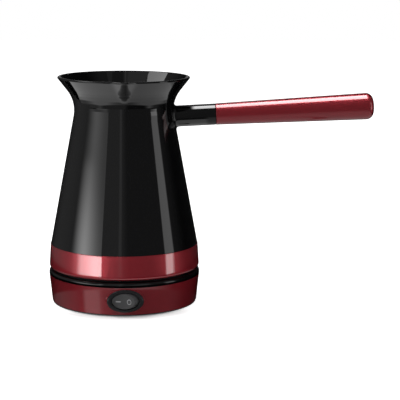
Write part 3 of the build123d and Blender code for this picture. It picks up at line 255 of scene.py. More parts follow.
# %% Push the spout out of the flare
SPOUT_START = (-39.8, 157.2)
SPOUT_TIP = (-55.8, 171.7)
SPOUT_HALF = radians(50)
SPOUT_NOSE_R = 4.5
SPOUT_SET_BACK = 3.6
SPOUT_INNER_NOSE_R = 1.7
CREASE = 0.8
SPOUT_LEAN = (SPOUT_START[0] - SPOUT_TIP[0]) / (SPOUT_TIP[1] - SPOUT_START[1])


def vee_reach(turn, z, set_back, nose_r):
    """Distance from the axis to the V at an angle from -Y and a height, in mm."""
    sharp = SPOUT_NOSE_R * (1 / sin(SPOUT_HALF) - 1)
    apex = SPOUT_START[0] - sharp + SPOUT_LEAN * (SPOUT_START[1] - z) + set_back
    nose_y = -apex - nose_r / sin(SPOUT_HALF)
    turn = abs(turn)
    tangent = atan2(nose_r * cos(SPOUT_HALF), nose_y + nose_r * sin(SPOUT_HALF))
    if turn < tangent:
        return nose_y * cos(turn) + sqrt(nose_r**2 - (nose_y * sin(turn)) ** 2)
    return -apex * tan(SPOUT_HALF) / (sin(turn) + cos(turn) * tan(SPOUT_HALF))


def outside_of(first, second):
    """The larger of two distances, with a soft step where they are alike."""
    blend = max(CREASE - abs(first - second), 0) / CREASE
    return max(first, second) + blend**2 * CREASE / 4


def push(turn, z, inset, set_back, nose_r):
    """How far the wall moves out for the spout at one place."""
    wall = turned_radius(z, inset)
    return outside_of(wall, vee_reach(turn, z, set_back, nose_r)) - wall


def turned_radius(z, inset):
    """Radius of the turned wall at a height: body cone, rounded neck or flare."""
    _, corner_z, bend = neck_corner(inset)
    reach = bend * tan((BODY_ANGLE + FLARE_ANGLE) / 2)
    low_z = corner_z - reach * cos(BODY_ANGLE)
    if z < low_z:
        return body_line(inset, z)
    if z > corner_z + reach * cos(FLARE_ANGLE):
        return flare_line(inset, z)
    centre_z = low_z + bend * sin(BODY_ANGLE)
    centre_r = body_line(inset, low_z) + bend * cos(BODY_ANGLE)
    return centre_r - sqrt(bend**2 - (z - centre_z) ** 2)


moved = 0
for vertex in pot.data.vertices:
    x, y, z = vertex.co / MM
    turn = atan2(x, -y)
    if abs(turn) > radians(SPOUT_REACH) or z < SPOUT_LOW_Z:
        continue
    radius = hypot(x, y)
    outer = push(turn, z, 0, 0, SPOUT_NOSE_R)
    inner = push(turn, z, POT_WALL, SPOUT_SET_BACK, SPOUT_INNER_NOSE_R)
    wall_out, wall_in = turned_radius(z, 0), turned_radius(z, POT_WALL)
    share = min(max((radius - wall_in) / (wall_out - wall_in), 0), 1)
    shift = inner + (outer - inner) * share
    vertex.co += Vector((sin(turn), -cos(turn), 0)) * shift * MM
    moved += shift > 0
pot.data.update()
print(moved, "vertices pushed out for the spout")

# %% [markdown]
# ## Laying a tube on a form
# Some forms are neither turned nor flat: the root of the handle grows out of a curved
# neck, and the rocker is a slice of a ball. Each starts as a straight tube, one circle
# extruded row by row, and then every vertex is laid where a small function of its
# angle and its row says. The function reads like the description of the part.

# %% Extrude a tube and lay it on a form
def laid_tube(name, around, rows, form):
    """A tube whose vertex at (turn, row) is moved to form(turn, row), in mm."""
    piece = started(name, bpy.ops.mesh.primitive_circle_add, vertices=around, radius=1)
    bpy.ops.object.mode_set(mode="EDIT")
    bpy.ops.mesh.select_all(action="SELECT")
    for _ in range(rows - 1):
        bpy.ops.mesh.extrude_region_move(TRANSFORM_OT_translate={"value": (0, 0, 1)})
    bpy.ops.object.mode_set(mode="OBJECT")
    for vertex in piece.data.vertices:
        vertex.co = form(atan2(vertex.co.y, vertex.co.x), round(vertex.co.z)) * MM
    return close_seams(piece)


# %% [markdown]
# ## The root of the handle
# The black root is part of the same moulding as the pot. A round bar would meet the
# neck in a hard line, so a fillet rolls from the bar onto the curved wall. The rows
# of the tube follow it: along the bar, round the fillet, just under the skin of the
# neck, and back along the socket that holds the core of the handle.

# %% Model the root of the handle
HANDLE_Z = 140.1
HANDLE_RISE = radians(2.89)
STUB_R, STUB_END, SOCKET_R = 8.05, 69.4, 5.5
ROOT_FILLET = 2.6
STUB_EDGE = 0.25
handle_out = Vector((cos(HANDLE_RISE), 0, sin(HANDLE_RISE)))
handle_up = Vector((-sin(HANDLE_RISE), 0, cos(HANDLE_RISE)))
handle_side = Vector((0, 1, 0))


def on_handle(along, turn, radius):
    """A point about the handle's axis."""
    across = handle_side * cos(turn) + handle_up * sin(turn)
    return Vector((0, 0, HANDLE_Z)) + handle_out * along + across * radius


def where_bar_meets_neck(turn, radius):
    """How far along its axis a bar of this radius leaves the outer wall."""
    near, far = 20.0, 60.0
    for _ in range(40):
        along = (near + far) / 2
        point = on_handle(along, turn, radius)
        if hypot(point.x, point.y) < turned_radius(point.z, 0):
            near = along
        else:
            far = along
    return near


def on_neck(turn, radius, sunk):
    """The point of the neck at a distance from the handle's axis, sunk into the wall."""
    return on_handle(where_bar_meets_neck(turn, radius) - sunk, turn, radius)


FILLET_ROWS, BAR_ROWS = 7, 6
SUNK, FILLET_SUNK = 0.5, 0.03


def root_form(turn, row):
    meets = where_bar_meets_neck(turn, STUB_R)
    if row <= FILLET_ROWS:
        t = row / FILLET_ROWS
        start = on_neck(turn, STUB_R + ROOT_FILLET, FILLET_SUNK)
        corner = on_handle(meets, turn, STUB_R)
        end = on_handle(meets + ROOT_FILLET, turn, STUB_R)
        return start.lerp(corner, t).lerp(corner.lerp(end, t), t)
    row -= FILLET_ROWS
    bar = [
        (meets + ROOT_FILLET + GUARD, STUB_R),
        (STUB_END - STUB_EDGE - GUARD, STUB_R),
        (STUB_END - STUB_EDGE, STUB_R),
        (STUB_END, STUB_R - STUB_EDGE),
        (STUB_END, SOCKET_R),
        (where_bar_meets_neck(turn, SOCKET_R) - SUNK, SOCKET_R),
    ]
    if row <= BAR_ROWS:
        along, radius = bar[row - 1]
        return on_handle(along, turn, radius)
    if row == BAR_ROWS + 1:
        return on_neck(turn, STUB_R, SUNK)
    return on_neck(turn, STUB_R + ROOT_FILLET, FILLET_SUNK)


root = laid_tube("handle_root", 96, FILLET_ROWS + BAR_ROWS + 3, root_form)

# %% [markdown]
# ## The red grip
# The grip is a tapered tube, closed and softly rounded at its end, that is pushed
# over the core of the handle. It is turned about Z like the pot and then laid down
# along the handle: the object is turned and moved, and both are applied, so that its
# place ends up in its mesh.

# %% Turn the grip and lay it along the handle
GRIP_START, GRIP_END = 69.5, 190.0
GRIP_START_R, GRIP_END_R = 8.12, 10.2
GRIP_CORNER = 5.5
BORE_R, BORE_END = 5.15, 177.0
grip_corners = [
    (BORE_R, GRIP_START, 0),
    (GRIP_START_R, GRIP_START, 0.35),
    (GRIP_END_R, GRIP_END, GRIP_CORNER),
    (0, GRIP_END, 0),
    (0, BORE_END, 0),
    (BORE_R, BORE_END, 0),
]
grip = spun("grip", rounded(grip_corners))
grip.rotation_euler = (0, pi / 2 - HANDLE_RISE, 0)
grip.location = (0, 0, HANDLE_Z * MM)
select_only(grip)
bpy.ops.object.transform_apply()

# %% [markdown]
# ## Red band, black top and steel plate
# Three more turned pieces. The band is a pressed ring that tapers with the pot. The
# top of the base has a rounded rim, a shallow dish that catches drops and a collar
# round the tower of the connector. The plate is the stainless floor of the pot, a
# shallow pan drawn from one sheet.

# %% Turn band, top and plate
band_corners = [
    (SKIRT_R, BAND_TOP_Z, 0),
    (BODY_R + 0.25, BAND_TOP_Z, 0.4),
    (BAND_R, BAND_LOW_Z + 2.9, 4.0),
    (BAND_R, BAND_LOW_Z, 2.2),
    (SKIRT_R, BAND_LOW_Z, 0),
]
band = spun("red_band", rounded(band_corners))

BASE_TOP_Z, DISH_Z, COLLAR_Z, UNDER_Z = 26.0, 25.0, 27.0, 23.0
COLLAR_R, TOWER_HOLE_R, DISH_R = 19.8, 17.3, 45.0
LIP_IN_R, LIP_OUT_R, LIP_LOW_Z = 53.0, 54.8, 19.5
top_corners = [
    (BASE_R, BASE_SPLIT_Z, 0),
    (BASE_R - 0.1, BASE_TOP_Z, 2.4),
    (DISH_R + 1, BASE_TOP_Z, 0.6),
    (DISH_R, DISH_Z, 0.6),
    (COLLAR_R + 2.4, DISH_Z, 0.8),
    (COLLAR_R, COLLAR_Z, 0.5),
    (TOWER_HOLE_R, COLLAR_Z, 0.3),
    (TOWER_HOLE_R, UNDER_Z, 0),
    (LIP_IN_R, UNDER_Z, 0),
    (LIP_IN_R, LIP_LOW_Z, 0),
    (LIP_OUT_R, LIP_LOW_Z, 0),
    (LIP_OUT_R, BASE_SPLIT_Z, 0),
]
top = spun("base_lid", rounded(top_corners))

PLATE_R, PLATE_SHEET, FLANGE_Z = 40.0, 0.8, 41.1
plate_corners = [
    (0, PLATE_TOP_Z, 0),
    (PLATE_R, PLATE_TOP_Z, 1.2),
    (PLATE_R, FLANGE_Z, 0),
    (PLATE_FLANGE_R, FLANGE_Z, 0),
    (PLATE_FLANGE_R, FLANGE_Z - PLATE_SHEET, 0),
    (PLATE_R - PLATE_SHEET, FLANGE_Z - PLATE_SHEET, 0),
    (PLATE_R - PLATE_SHEET, PLATE_TOP_Z - PLATE_SHEET, 0),
    (0, PLATE_TOP_Z - PLATE_SHEET, 0),
]
plate = spun("steel_floor", rounded(plate_corners))

# %% [markdown]
# ## The red wall of the base
# A thin ring that leans out towards its top. Two openings go through it: an oval one
# for the switch and an arch for the mains lead at the back. Each is cut with a
# boolean by a round bar, which is stretched to the opening and then thrown away.

# %% Turn the wall and cut its openings
BASE_LOW_R, BASE_WALL = 55.27, 2.2
SWITCH_BODY = (12.3, 8.0)
SWITCH_HOLE = tuple(half + 0.1 for half in SWITCH_BODY)
INLET_R, INLET_Z = 3.5, 5.0
CUT_LENGTH = 12.0
wall_corners = [
    (BASE_LOW_R, BASE_LOW_Z, 0.3),
    (BASE_R, BASE_SPLIT_Z, 0),
    (BASE_R - BASE_WALL, BASE_SPLIT_Z, 0),
    (BASE_LOW_R - BASE_WALL, BASE_LOW_Z, 0),
]
wall = spun("base_wall", rounded(wall_corners))


def cutter(half_width, half_height, y, z):
    """A round bar along Y, stretched to an oval section."""
    along_y = {"vertices": 96, "radius": 1, "depth": CUT_LENGTH * MM, "rotation": (pi / 2, 0, 0)}
    tool = started("cutter", bpy.ops.mesh.primitive_cylinder_add, **along_y)
    tool.location = Vector((0, y, z)) * MM
    tool.scale = (half_width * MM, half_height * MM, 1)
    bpy.ops.object.transform_apply()
    return tool


def cut(piece, tool):
    """Take the tool's shape out of the piece, and the tool away."""
    select_only(piece)
    boolean = piece.modifiers.new("cut", "BOOLEAN")
    boolean.operation, boolean.solver, boolean.object = "DIFFERENCE", "EXACT", tool
    bpy.ops.object.modifier_apply(modifier="cut")
    bpy.data.objects.remove(tool)


cut(wall, cutter(*SWITCH_HOLE, -BASE_R, SWITCH_Z))
cut(wall, cutter(INLET_R, INLET_R, BASE_R, INLET_Z))
close_seams(wall)

# %% [markdown]
# ## The oval seat of the switch
# The wall is round and the bezel of the switch is flat, so the moulding has a flat
# oval seat that stands out of the wall. It is a short oval tube. Each row is an
# ellipse, given as half width, half height and place along Y, and the rounded edge of
# the seat is a few rows on a quarter circle.

# %% Model seat, bezel and body of the switch
SEAT_Y = -57.7
SEAT = (14.4, 9.35)
SEAT_BACK_Y = -53.4
BEZEL = (13.6, 8.55)
OPENING = (10.25, 6.4)
CAVITY = (11.2, 6.9)
LIP_BACK_Y = -58.1
SEAT_EDGE, BEZEL_EDGE, OPENING_EDGE, BELOW_EDGE = 0.5, 1.3, 0.3, 0.4
BEZEL_FOOT, HOUSING_BACK = 0.25, 2.0


def quarter(size, y, radius, rows=5, opening=False):
    """Rows of ellipses round an edge: from the side (0) to the front (90 degrees)."""
    edge = []
    for k in range(rows + 1):
        angle = pi / 2 * k / rows
        inward = radius * (1 - cos(angle)) * (-1 if opening else 1)
        edge.append((size[0] - inward, size[1] - inward, y + radius * (1 - sin(angle))))
    return edge


def oval_tube(name, rows):
    def on_row(turn, row):
        half_width, half_height, y = rows[row]
        return Vector((half_width * cos(turn), y, SWITCH_Z + half_height * sin(turn)))

    return laid_tube(name, 128, len(rows), on_row)


seat_rows = [(*SWITCH_HOLE, SEAT_BACK_Y), (*SEAT, SEAT_BACK_Y), (*SEAT, SEAT_Y + SEAT_EDGE + BELOW_EDGE)]
seat_rows += quarter(SEAT, SEAT_Y, SEAT_EDGE)
seat_rows += [(*SWITCH_HOLE, SEAT_Y), (*SWITCH_HOLE, SEAT_BACK_Y)]
seat = oval_tube("switch_seat", seat_rows)

bezel_rows = [(*SWITCH_BODY, SEAT_Y), (*BEZEL, SEAT_Y), (*BEZEL, SEAT_Y - BEZEL_FOOT)]
bezel_rows += quarter(BEZEL, BEZEL_FRONT_Y, BEZEL_EDGE, rows=8)
bezel_rows += quarter(OPENING, BEZEL_FRONT_Y, OPENING_EDGE, rows=3, opening=True)[::-1]
bezel_rows += [
    (*OPENING, BEZEL_FRONT_Y + 2 * OPENING_EDGE),
    (*OPENING, LIP_BACK_Y),
    (*CAVITY, LIP_BACK_Y),
    (*CAVITY, SWITCH_BACK_Y - HOUSING_BACK),
    (0, 0, SWITCH_BACK_Y - HOUSING_BACK),
    (0, 0, SWITCH_BACK_Y),
    (*SWITCH_BODY, SWITCH_BACK_Y),
    (*SWITCH_BODY, SEAT_Y),
]
bezel = oval_tube("switch_bezel", bezel_rows)

# %% [markdown]
# ## The rocker
# The rocker tips about a pivot behind its face. Its sides are a slice of a flattened
# ball about that pivot, so that the gap to the bezel stays even while it moves, and
# its face is hollowed for the fingertip. The rows go from the back, along the ball to
# the edge of the face, round the edge, and in rings to the middle of the face.

# %% Model the rocker
PIVOT_Y = -54.7
ROCKER_TRAVEL = 25.0
LIP_HALF_W, LIP_BACK = 9.95, 3.4
ROCKER_R = hypot(LIP_HALF_W, LIP_BACK)
ROCKER_HALF_H = 6.1
ROCKER_SEMI_H = ROCKER_HALF_H * ROCKER_R / LIP_HALF_W
EDGE_ANGLE = radians(53.3)
EDGE_X, EDGE_Y = ROCKER_R * sin(EDGE_ANGLE), -ROCKER_R * cos(EDGE_ANGLE)
FACE_HOLLOW = 0.8
ROCKER_BACK, ROCKER_EDGE = 1.6, 0.45
SIDE_ROWS, EDGE_ROWS, FACE_ROWS = 12, 4, 14
FACE_R = (EDGE_X**2 + FACE_HOLLOW**2) / (2 * FACE_HOLLOW)
pressed = Matrix.Rotation(-radians(ROCKER_TRAVEL / 2), 3, "Z")
pivot = Vector((0, PIVOT_Y, SWITCH_Z))


def face_depth(x):
    """How far in front of the pivot the hollow face lies, as a local Y."""
    return EDGE_Y + FACE_HOLLOW - (FACE_R - sqrt(FACE_R**2 - x**2))


def on_ball(turn, y):
    """The point of the flattened ball in the plane at y, in the rocker's own axes."""
    half_width = sqrt(ROCKER_R**2 - y**2)
    half_height = ROCKER_SEMI_H * half_width / ROCKER_R
    up = max(-ROCKER_HALF_H, min(ROCKER_HALF_H, half_height * sin(turn)))
    return Vector((half_width * cos(turn), y, up))


def face_edge(turn):
    """Where the ball meets the hollow face."""
    y = EDGE_Y
    for _ in range(20):
        y = face_depth(min(EDGE_X, abs(on_ball(turn, y).x)))
    return on_ball(turn, y)


def rocker_form(turn, row):
    edge = face_edge(turn)
    if row == 0:
        local = Vector((0, ROCKER_BACK, 0))
    elif row <= SIDE_ROWS:
        share = (row - 1) / (SIDE_ROWS - 1)
        local = on_ball(turn, ROCKER_BACK + (edge.y + ROCKER_EDGE - ROCKER_BACK) * share)
    else:
        inner = edge * (1 - ROCKER_EDGE / edge.length)
        inner.y = face_depth(abs(inner.x))
        step = row - SIDE_ROWS
        if step <= EDGE_ROWS:
            t = step / EDGE_ROWS
            start = on_ball(turn, edge.y + ROCKER_EDGE)
            local = start.lerp(edge, t).lerp(edge.lerp(inner, t), t)
        else:
            share = 1 - (step - EDGE_ROWS) / FACE_ROWS
            local = Vector((inner.x * share, 0, inner.z * share))
            local.y = face_depth(abs(local.x))
    return pivot + pressed @ local


rocker = laid_tube("rocker_key", 128, 1 + SIDE_ROWS + EDGE_ROWS + FACE_ROWS, rocker_form)

# %% [markdown]
# ## The marks on the rocker
# A dash for on and a ring for off are printed on the face, as on most switches. Each
# is a thin raised shape: a flattened cube with a bevel for the dash and a flattened
# ring for the other. They are tilted with the face and sit half in it.

# %% Model the two marks
MARK_X, MARK_PROUD = 4.1, 0.06
DASH, DASH_BEVEL = (3.5, 0.6), 0.015
RING_R, RING_LINE, RING_NARROW = 1.75, 0.42, 0.82


def lay_on_face(mark, x):
    """Turn a flat mark that lies in XY onto the face at local x, and apply its place."""
    slope = atan2(x, sqrt(FACE_R**2 - x**2))
    across = Matrix.Rotation(-radians(ROCKER_TRAVEL / 2) - slope, 4, "Z") @ Matrix.Rotation(pi / 2, 4, "X")
    local = Vector((x, face_depth(x), 0))
    mark.matrix_world = Matrix.Translation((pivot + pressed @ local) * MM) @ across
    select_only(mark)
    bpy.ops.object.transform_apply()
    return close_seams(mark)


dash_size = Vector((*DASH, 2 * MARK_PROUD)) * MM
dash = started("mark_dash", bpy.ops.mesh.primitive_cube_add, size=1, scale=dash_size)
bpy.ops.object.transform_apply()
bpy.ops.object.mode_set(mode="EDIT")
bpy.ops.mesh.select_all(action="SELECT")
bpy.ops.mesh.bevel(offset=DASH_BEVEL * MM, segments=2)
bpy.ops.object.mode_set(mode="OBJECT")
lay_on_face(dash, -MARK_X)

torus = {"major_radius": RING_R * MM, "minor_radius": RING_LINE / 2 * MM}
torus |= {"major_segments": 48, "minor_segments": 10}
ring = started("mark_ring", bpy.ops.mesh.primitive_torus_add, **torus)
ring.scale = (RING_NARROW, 1, 2 * MARK_PROUD / RING_LINE)
bpy.ops.object.transform_apply()
lay_on_face(ring, MARK_X)

# %% [markdown]
# ## Seats in the frame
# Each new piece rides on the body whose CAD part it stands for. The table lists the
# piece, its body, that CAD part and a finish name, which nothing here reads. The CAD
# part is then hidden but still there for the simulation.

# %% Put the pieces on their bodies
STANDS_FOR = [
    (pot, "jug", "pot_shell", "pot_black"),
    (root, "jug", "pot_shell", "pot_black"),
    (band, "jug", "trim_ring", "red_metallic"),
    (grip, "jug", "handle_grip", "red_metallic"),
    (plate, "jug", "heating_plate", "stainless"),
    (top, "base", "base_top", "base_black"),
    (wall, "base", "base_shell", "red_metallic"),
    (seat, "base", "base_shell", "red_metallic"),
    (bezel, "base", "switch_housing", "switch_black"),
    (rocker, "rocker", "rocker", "switch_black"),
    (dash, "rocker", "rocker", "switch_black"),
    (ring, "rocker", "rocker", "switch_black"),
]
for piece, body, node, finish in STANDS_FOR:
    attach(piece, body)
    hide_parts(node)
print(len(STANDS_FOR), "modelled pieces")

# %% [markdown]
# ## Shader maths in plain Python
# A finish is a small program of nodes. The class below wraps a socket, so that an
# expression such as 0.3 + 0.1 * grain adds the Math nodes it needs. Finish holds one
# material, and its one method adds any node from its type, settings and inputs.

# %% Sockets that do sums, and a material that makes nodes
class Value:
    """A socket that can stand in a sum."""

    def __init__(self, finish, socket):
        self.finish, self.socket = finish, socket

    def maths(self, operation, *terms):
        return self.finish.node("ShaderNodeMath", {"operation": operation}, dict(enumerate(terms)))

    def __add__(self, other):
        return self.maths("ADD", self, other)

    def __sub__(self, other):
        return self.maths("SUBTRACT", self, other)

    def __rsub__(self, other):
        return self.maths("SUBTRACT", other, self)

    def __mul__(self, other):
        return self.maths("MULTIPLY", self, other)

    def __truediv__(self, other):
        return self.maths("DIVIDE", self, other)

    __radd__, __rmul__ = __add__, __mul__

    def smaller(self, other):
        return self.maths("MINIMUM", self, other)

    def between(self, low, high):
        """0 below low, 1 above high and a soft step in between; either order."""
        settings = {"interpolation_type": "SMOOTHSTEP"}
        return self.finish.node("ShaderNodeMapRange", settings, {0: self, 1: low, 2: high})


class Finish:
    """One material, or the world, and the nodes that are added to it."""

    def __init__(self, name, world=None):
        self.material = world or bpy.data.materials.new(name)
        self.material.use_nodes = True
        self.tree = self.material.node_tree
        self.shader = self.tree.nodes.get("Principled BSDF")

    def node(self, kind, settings=None, inputs=None, output=0):
        """Add a node of this type: settings first, then values or links for its inputs."""
        made = self.tree.nodes.new(kind)
        for key, setting in (settings or {}).items():
            setattr(made, key, setting)
        for key, given in (inputs or {}).items():
            self.feed(made.inputs[key], given)
        return Value(self, made.outputs[output])

    def feed(self, socket, given):
        if isinstance(given, Value):
            self.tree.links.new(given.socket, socket)
        else:
            socket.default_value = given

    def surface(self, **inputs):
        """Feed the shader's own sockets; base_color stands for Base Color."""
        for key, given in inputs.items():
            self.feed(self.shader.inputs[key.replace("_", " ").title().replace("Ior", "IOR")], given)
        return self.material

    def where(self, scale=(1, 1, 1)):
        """Object coordinates in metres, stretched along the axes if asked."""
        place = self.node("ShaderNodeTexCoord", output="Object")
        if scale == (1, 1, 1):
            return place
        return self.node("ShaderNodeMapping", None, {"Vector": place, "Scale": scale})

    def noise(self, place, size, detail, roughness=0.5):
        """Cloudy noise from 0 to 1 whose lumps are about this many mm wide."""
        inputs = {"Vector": place, "Scale": 1 / (size * MM), "Detail": detail, "Roughness": roughness}
        return self.node("ShaderNodeTexNoise", None, inputs)

    def mix(self, share, first, second):
        """A colour between two, by a share from 0 to 1."""
        inputs = {"Factor": share, 6: first, 7: second}
        return self.node("ShaderNodeMix", {"data_type": "RGBA"}, inputs, output=2)

    def bump(self, height, depth):
        """A normal from a height of 0 to 1 that stands for this many mm."""
        return self.node("ShaderNodeBump", None, {"Height": height, "Distance": depth * MM})


def paint(material, *pieces):
    """Give pieces, or the CAD nodes of these names, one material."""
    for piece in pieces:
        piece = nodes[piece] if isinstance(piece, str) else piece
        piece.data.materials.clear()
        piece.data.materials.append(material)


# %% [markdown]
# ## Gloss black
# The pot and the top of the base come from a polished mould, so the surface is
# smooth to the eye and mirrors the room. What keeps it from looking like a computer's
# black is small: a faint waviness of the moulding, and a haze from wiping that makes
# the gloss vary a little from place to place.

# %% Gloss black plastic
GLOSS_BLACK = (0.0012, 0.0012, 0.0014, 1)
WAVE_DEPTH = 0.0015


def gloss_black(name):
    finish = Finish(name)
    place = finish.where()
    haze = finish.noise(place, 22.0, 4.0)
    wiped = finish.noise(finish.where((1, 1, 0.15)), 3.0, 3.0)
    swell = finish.noise(place, 9.0, 1.0)
    return finish.surface(
        base_color=GLOSS_BLACK,
        roughness=0.03 + 0.03 * haze.between(0.45, 0.75) + 0.015 * wiped.between(0.5, 0.8),
        ior=1.5,
        normal=finish.bump(swell, WAVE_DEPTH),
    )


paint(gloss_black("pot_black"), pot, root)
paint(gloss_black("base_black"), top)

# %% [markdown]
# ## Metallic red
# Band, base and grip are sprayed with a red metallic paint under a clear coat. The
# paint holds flakes of aluminium, each tilted a little: a fine cell pattern tilts the
# normal under the coat and lightens some flakes. The clear coat above them stays
# smooth and adds the crisp white reflections.

# %% Metallic red lacquer
RED_DEEP = (0.19, 0.004, 0.009, 1)
RED_BRIGHT = (0.31, 0.009, 0.022, 1)
FLAKE, FLAKE_TILT = 0.16, 0.006
red = Finish("red_metallic")
place = red.where()
cells = red.node("ShaderNodeTexVoronoi", None, {"Vector": place, "Scale": 1 / (FLAKE * MM)}, "Color")
flake = red.node("ShaderNodeSeparateColor", None, {0: cells})
cloud = red.noise(place, 14.0, 3.0)
spray = red.noise(place, 1.6, 2.0)
red.surface(
    base_color=red.mix(0.25 * cloud + 0.5 * flake, RED_DEEP, RED_BRIGHT),
    metallic=0.6,
    roughness=0.36 + 0.06 * spray,
    coat_weight=1.0,
    coat_roughness=0.03,
    coat_ior=1.5,
    normal=red.bump(flake, FLAKE_TILT),
)
paint(red.material, grip, wall, seat, band)

# %% [markdown]
# ## Moulded plastics and rubber
# The other plastics are plain mouldings that differ in colour and in the grain of
# the tool: spark grain on the covers, a finer one on the switch, a coarser one on the
# glass-filled connector parts and hardly any on the seal and the leads. The rocker is
# the black of the switch painted lighter, as painted light for the light on its raised side.

# %% Grained plastics
def moulded(name, colour, roughness, grain, depth):
    """A plain moulding: grain is the width of its pits in mm, depth how deep."""
    finish = Finish(name)
    place = finish.where()
    pits = finish.noise(place, grain, 3.0, 0.6)
    cloud = finish.noise(place, 18.0, 3.0)
    rubbed = tuple(min(1, c * 1.35 + 0.004) for c in colour)
    return finish.surface(
        base_color=finish.mix(0.6 * cloud.between(0.4, 0.7) + 0.4 * pits, (*colour, 1), (*rubbed, 1)),
        roughness=roughness - 0.08 * cloud + 0.1 * pits,
        normal=finish.bump(pits, depth),
    )


PLASTICS = [
    ("switch_black", (0.008, 0.008, 0.009), 0.26, 0.22, 0.008, [bezel]),
    # Painted light: the rocker is the switch's black made lighter, for the light that its raised side
    # catches.
    ("rocker_painted_lighter", (0.035, 0.035, 0.036), 0.36, 0.22, 0.008, [rocker]),
    ("cover_black", (0.016, 0.016, 0.017), 0.5, 0.35, 0.03, ["base_bottom", "jug_cover"]),
    (
        "connector_black", (0.024, 0.024, 0.025), 0.55, 0.5, 0.03,
        ["jug_connector", "base_connector", "thermostat", "handle_core"],
    ),
    ("rubber_black", (0.02, 0.02, 0.02), 0.78, 0.3, 0.02, ["foot_ring"]),
    ("silicone_grey", (0.35, 0.35, 0.36), 0.55, 0.4, 0.01, ["plate_gasket"]),
    ("lead_silicone", (0.30, 0.075, 0.03), 0.5, 0.3, 0.01, ["switch_lead", "element_lead"]),
    ("ceramic_white", (0.8, 0.78, 0.72), 0.6, 0.25, 0.02, ["element_beads"]),
    ("mark_print", (0.30, 0.30, 0.31), 0.45, 0.2, 0.004, [dash, ring]),
]
for name, colour, roughness, grain, depth, pieces in PLASTICS:
    paint(moulded(name, colour, roughness, grain, depth), *pieces)
print(len(PLASTICS), "plain mouldings")

# %% [markdown]
# ## Metals
# The plate is brushed in rings, so its scratches follow the distance from the axis
# and are almost the same all the way round. The small metal parts have plain cloudy
# marks instead: brass contacts, zinc plated screws, a dull sheath, bare aluminium.

# %% Steel, brass and aluminium
def bare_metal(name, colour, roughness, brushed=False):
    """A metal; brushed in rings about the Z axis if asked, else cloudy."""
    finish = Finish(name)
    place = finish.where()
    cloud = finish.noise(place, 6.0, 4.0)
    if brushed:
        flat = finish.node("ShaderNodeVectorMath", {"operation": "MULTIPLY"}, {0: place, 1: (1, 1, 0)})
        away = finish.node("ShaderNodeVectorMath", {"operation": "LENGTH"}, {0: flat}, "Value")
        ringed = finish.node("ShaderNodeCombineXYZ", None, {"X": away, "Z": 0.004 * cloud})
        marks = finish.noise(ringed, 0.22, 4.0, 0.7)
    else:
        marks = finish.noise(place, 0.8, 4.0, 0.7)
    dull = tuple(c * 0.78 for c in colour)
    return finish.surface(
        base_color=finish.mix(0.5 * marks + 0.4 * cloud, (*colour, 1), (*dull, 1)),
        metallic=1.0,
        roughness=roughness + 0.14 * marks + 0.08 * cloud,
        normal=finish.bump(marks, 0.004),
    )


contacts = ["line_ring", "neutral_ring", "earth_pin", "earth_contact", "line_contact", "neutral_contact"]
sockets = ["switch_terminals", "base_receptacles", "jug_receptacles", "pin_crimps"]
screws = [name for name in nodes if name.endswith("_screws") or name == "handle_screw"]
METALS = [
    ("stainless", (0.56, 0.55, 0.53), 0.2, [plate, "clamp_ring", "element_pins", "bimetal_disc"]),
    ("aluminium", (0.75, 0.75, 0.76), 0.38, ["heat_spreader"]),
    ("element_sheath", (0.38, 0.37, 0.35), 0.42, ["heating_element"]),
    ("fuse_metal", (0.7, 0.7, 0.7), 0.3, ["thermal_fuse"]),
    ("brass", (0.72, 0.55, 0.25), 0.24, [*contacts, *sockets, "switch_blade", "switch_plunger"]),
    ("steel_zinc", (0.6, 0.6, 0.6), 0.28, [*screws, "plunger_spring"]),
]
for name, colour, roughness, pieces in METALS:
    paint(bare_metal(name, colour, roughness, brushed=name == "stainless"), *pieces)
print("screw nodes:", sorted(screws))

# %% [markdown]
# ## Smooth shading on the CAD parts
# The CAD nodes come as loose flat triangles, and their meshes stay as they are. A
# modifier can still join the points and smooth the shading up to a crease, which is
# what a round pin or a cup needs to catch the light in one piece.

# %% A modifier that joins and smooths
soften = bpy.data.node_groups.new("soften_facets", "GeometryNodeTree")
soften.interface.new_socket("Geometry", in_out="INPUT", socket_type="NodeSocketGeometry")
soften.interface.new_socket("Geometry", in_out="OUTPUT", socket_type="NodeSocketGeometry")
add, link = soften.nodes.new, soften.links.new
start, end = add("NodeGroupInput"), add("NodeGroupOutput")
joined = add("GeometryNodeMergeByDistance")
joined.inputs["Distance"].default_value = 0.002 * MM
smooth, creased = add("GeometryNodeSetShadeSmooth"), add("GeometryNodeSetShadeSmooth")
creased.domain = "EDGE"
angle, sharp = add("GeometryNodeInputMeshEdgeAngle"), add("FunctionNodeCompare")
sharp.data_type, sharp.operation = "FLOAT", "LESS_THAN"
sharp.inputs[1].default_value = SMOOTH
link(start.outputs[0], joined.inputs["Geometry"])
link(joined.outputs[0], smooth.inputs["Geometry"])
link(smooth.outputs[0], creased.inputs["Geometry"])
link(angle.outputs["Unsigned Angle"], sharp.inputs[0])
link(sharp.outputs[0], creased.inputs["Shade Smooth"])
link(creased.outputs[0], end.inputs[0])
shown = [node for node in nodes.values() if not node.hide_render]
for node in shown:
    node.modifiers.new("soften", "NODES").node_group = soften
print(len(shown), "CAD nodes keep their mesh and get softer shading")

# %% [markdown]
# ## The camera
# A product view with a long lens, a little above the table. The long lens keeps the
# sides of the pot almost straight. Its place is given in the frame's millimetres, and
# the camera looks almost level, turned a little towards the handle.

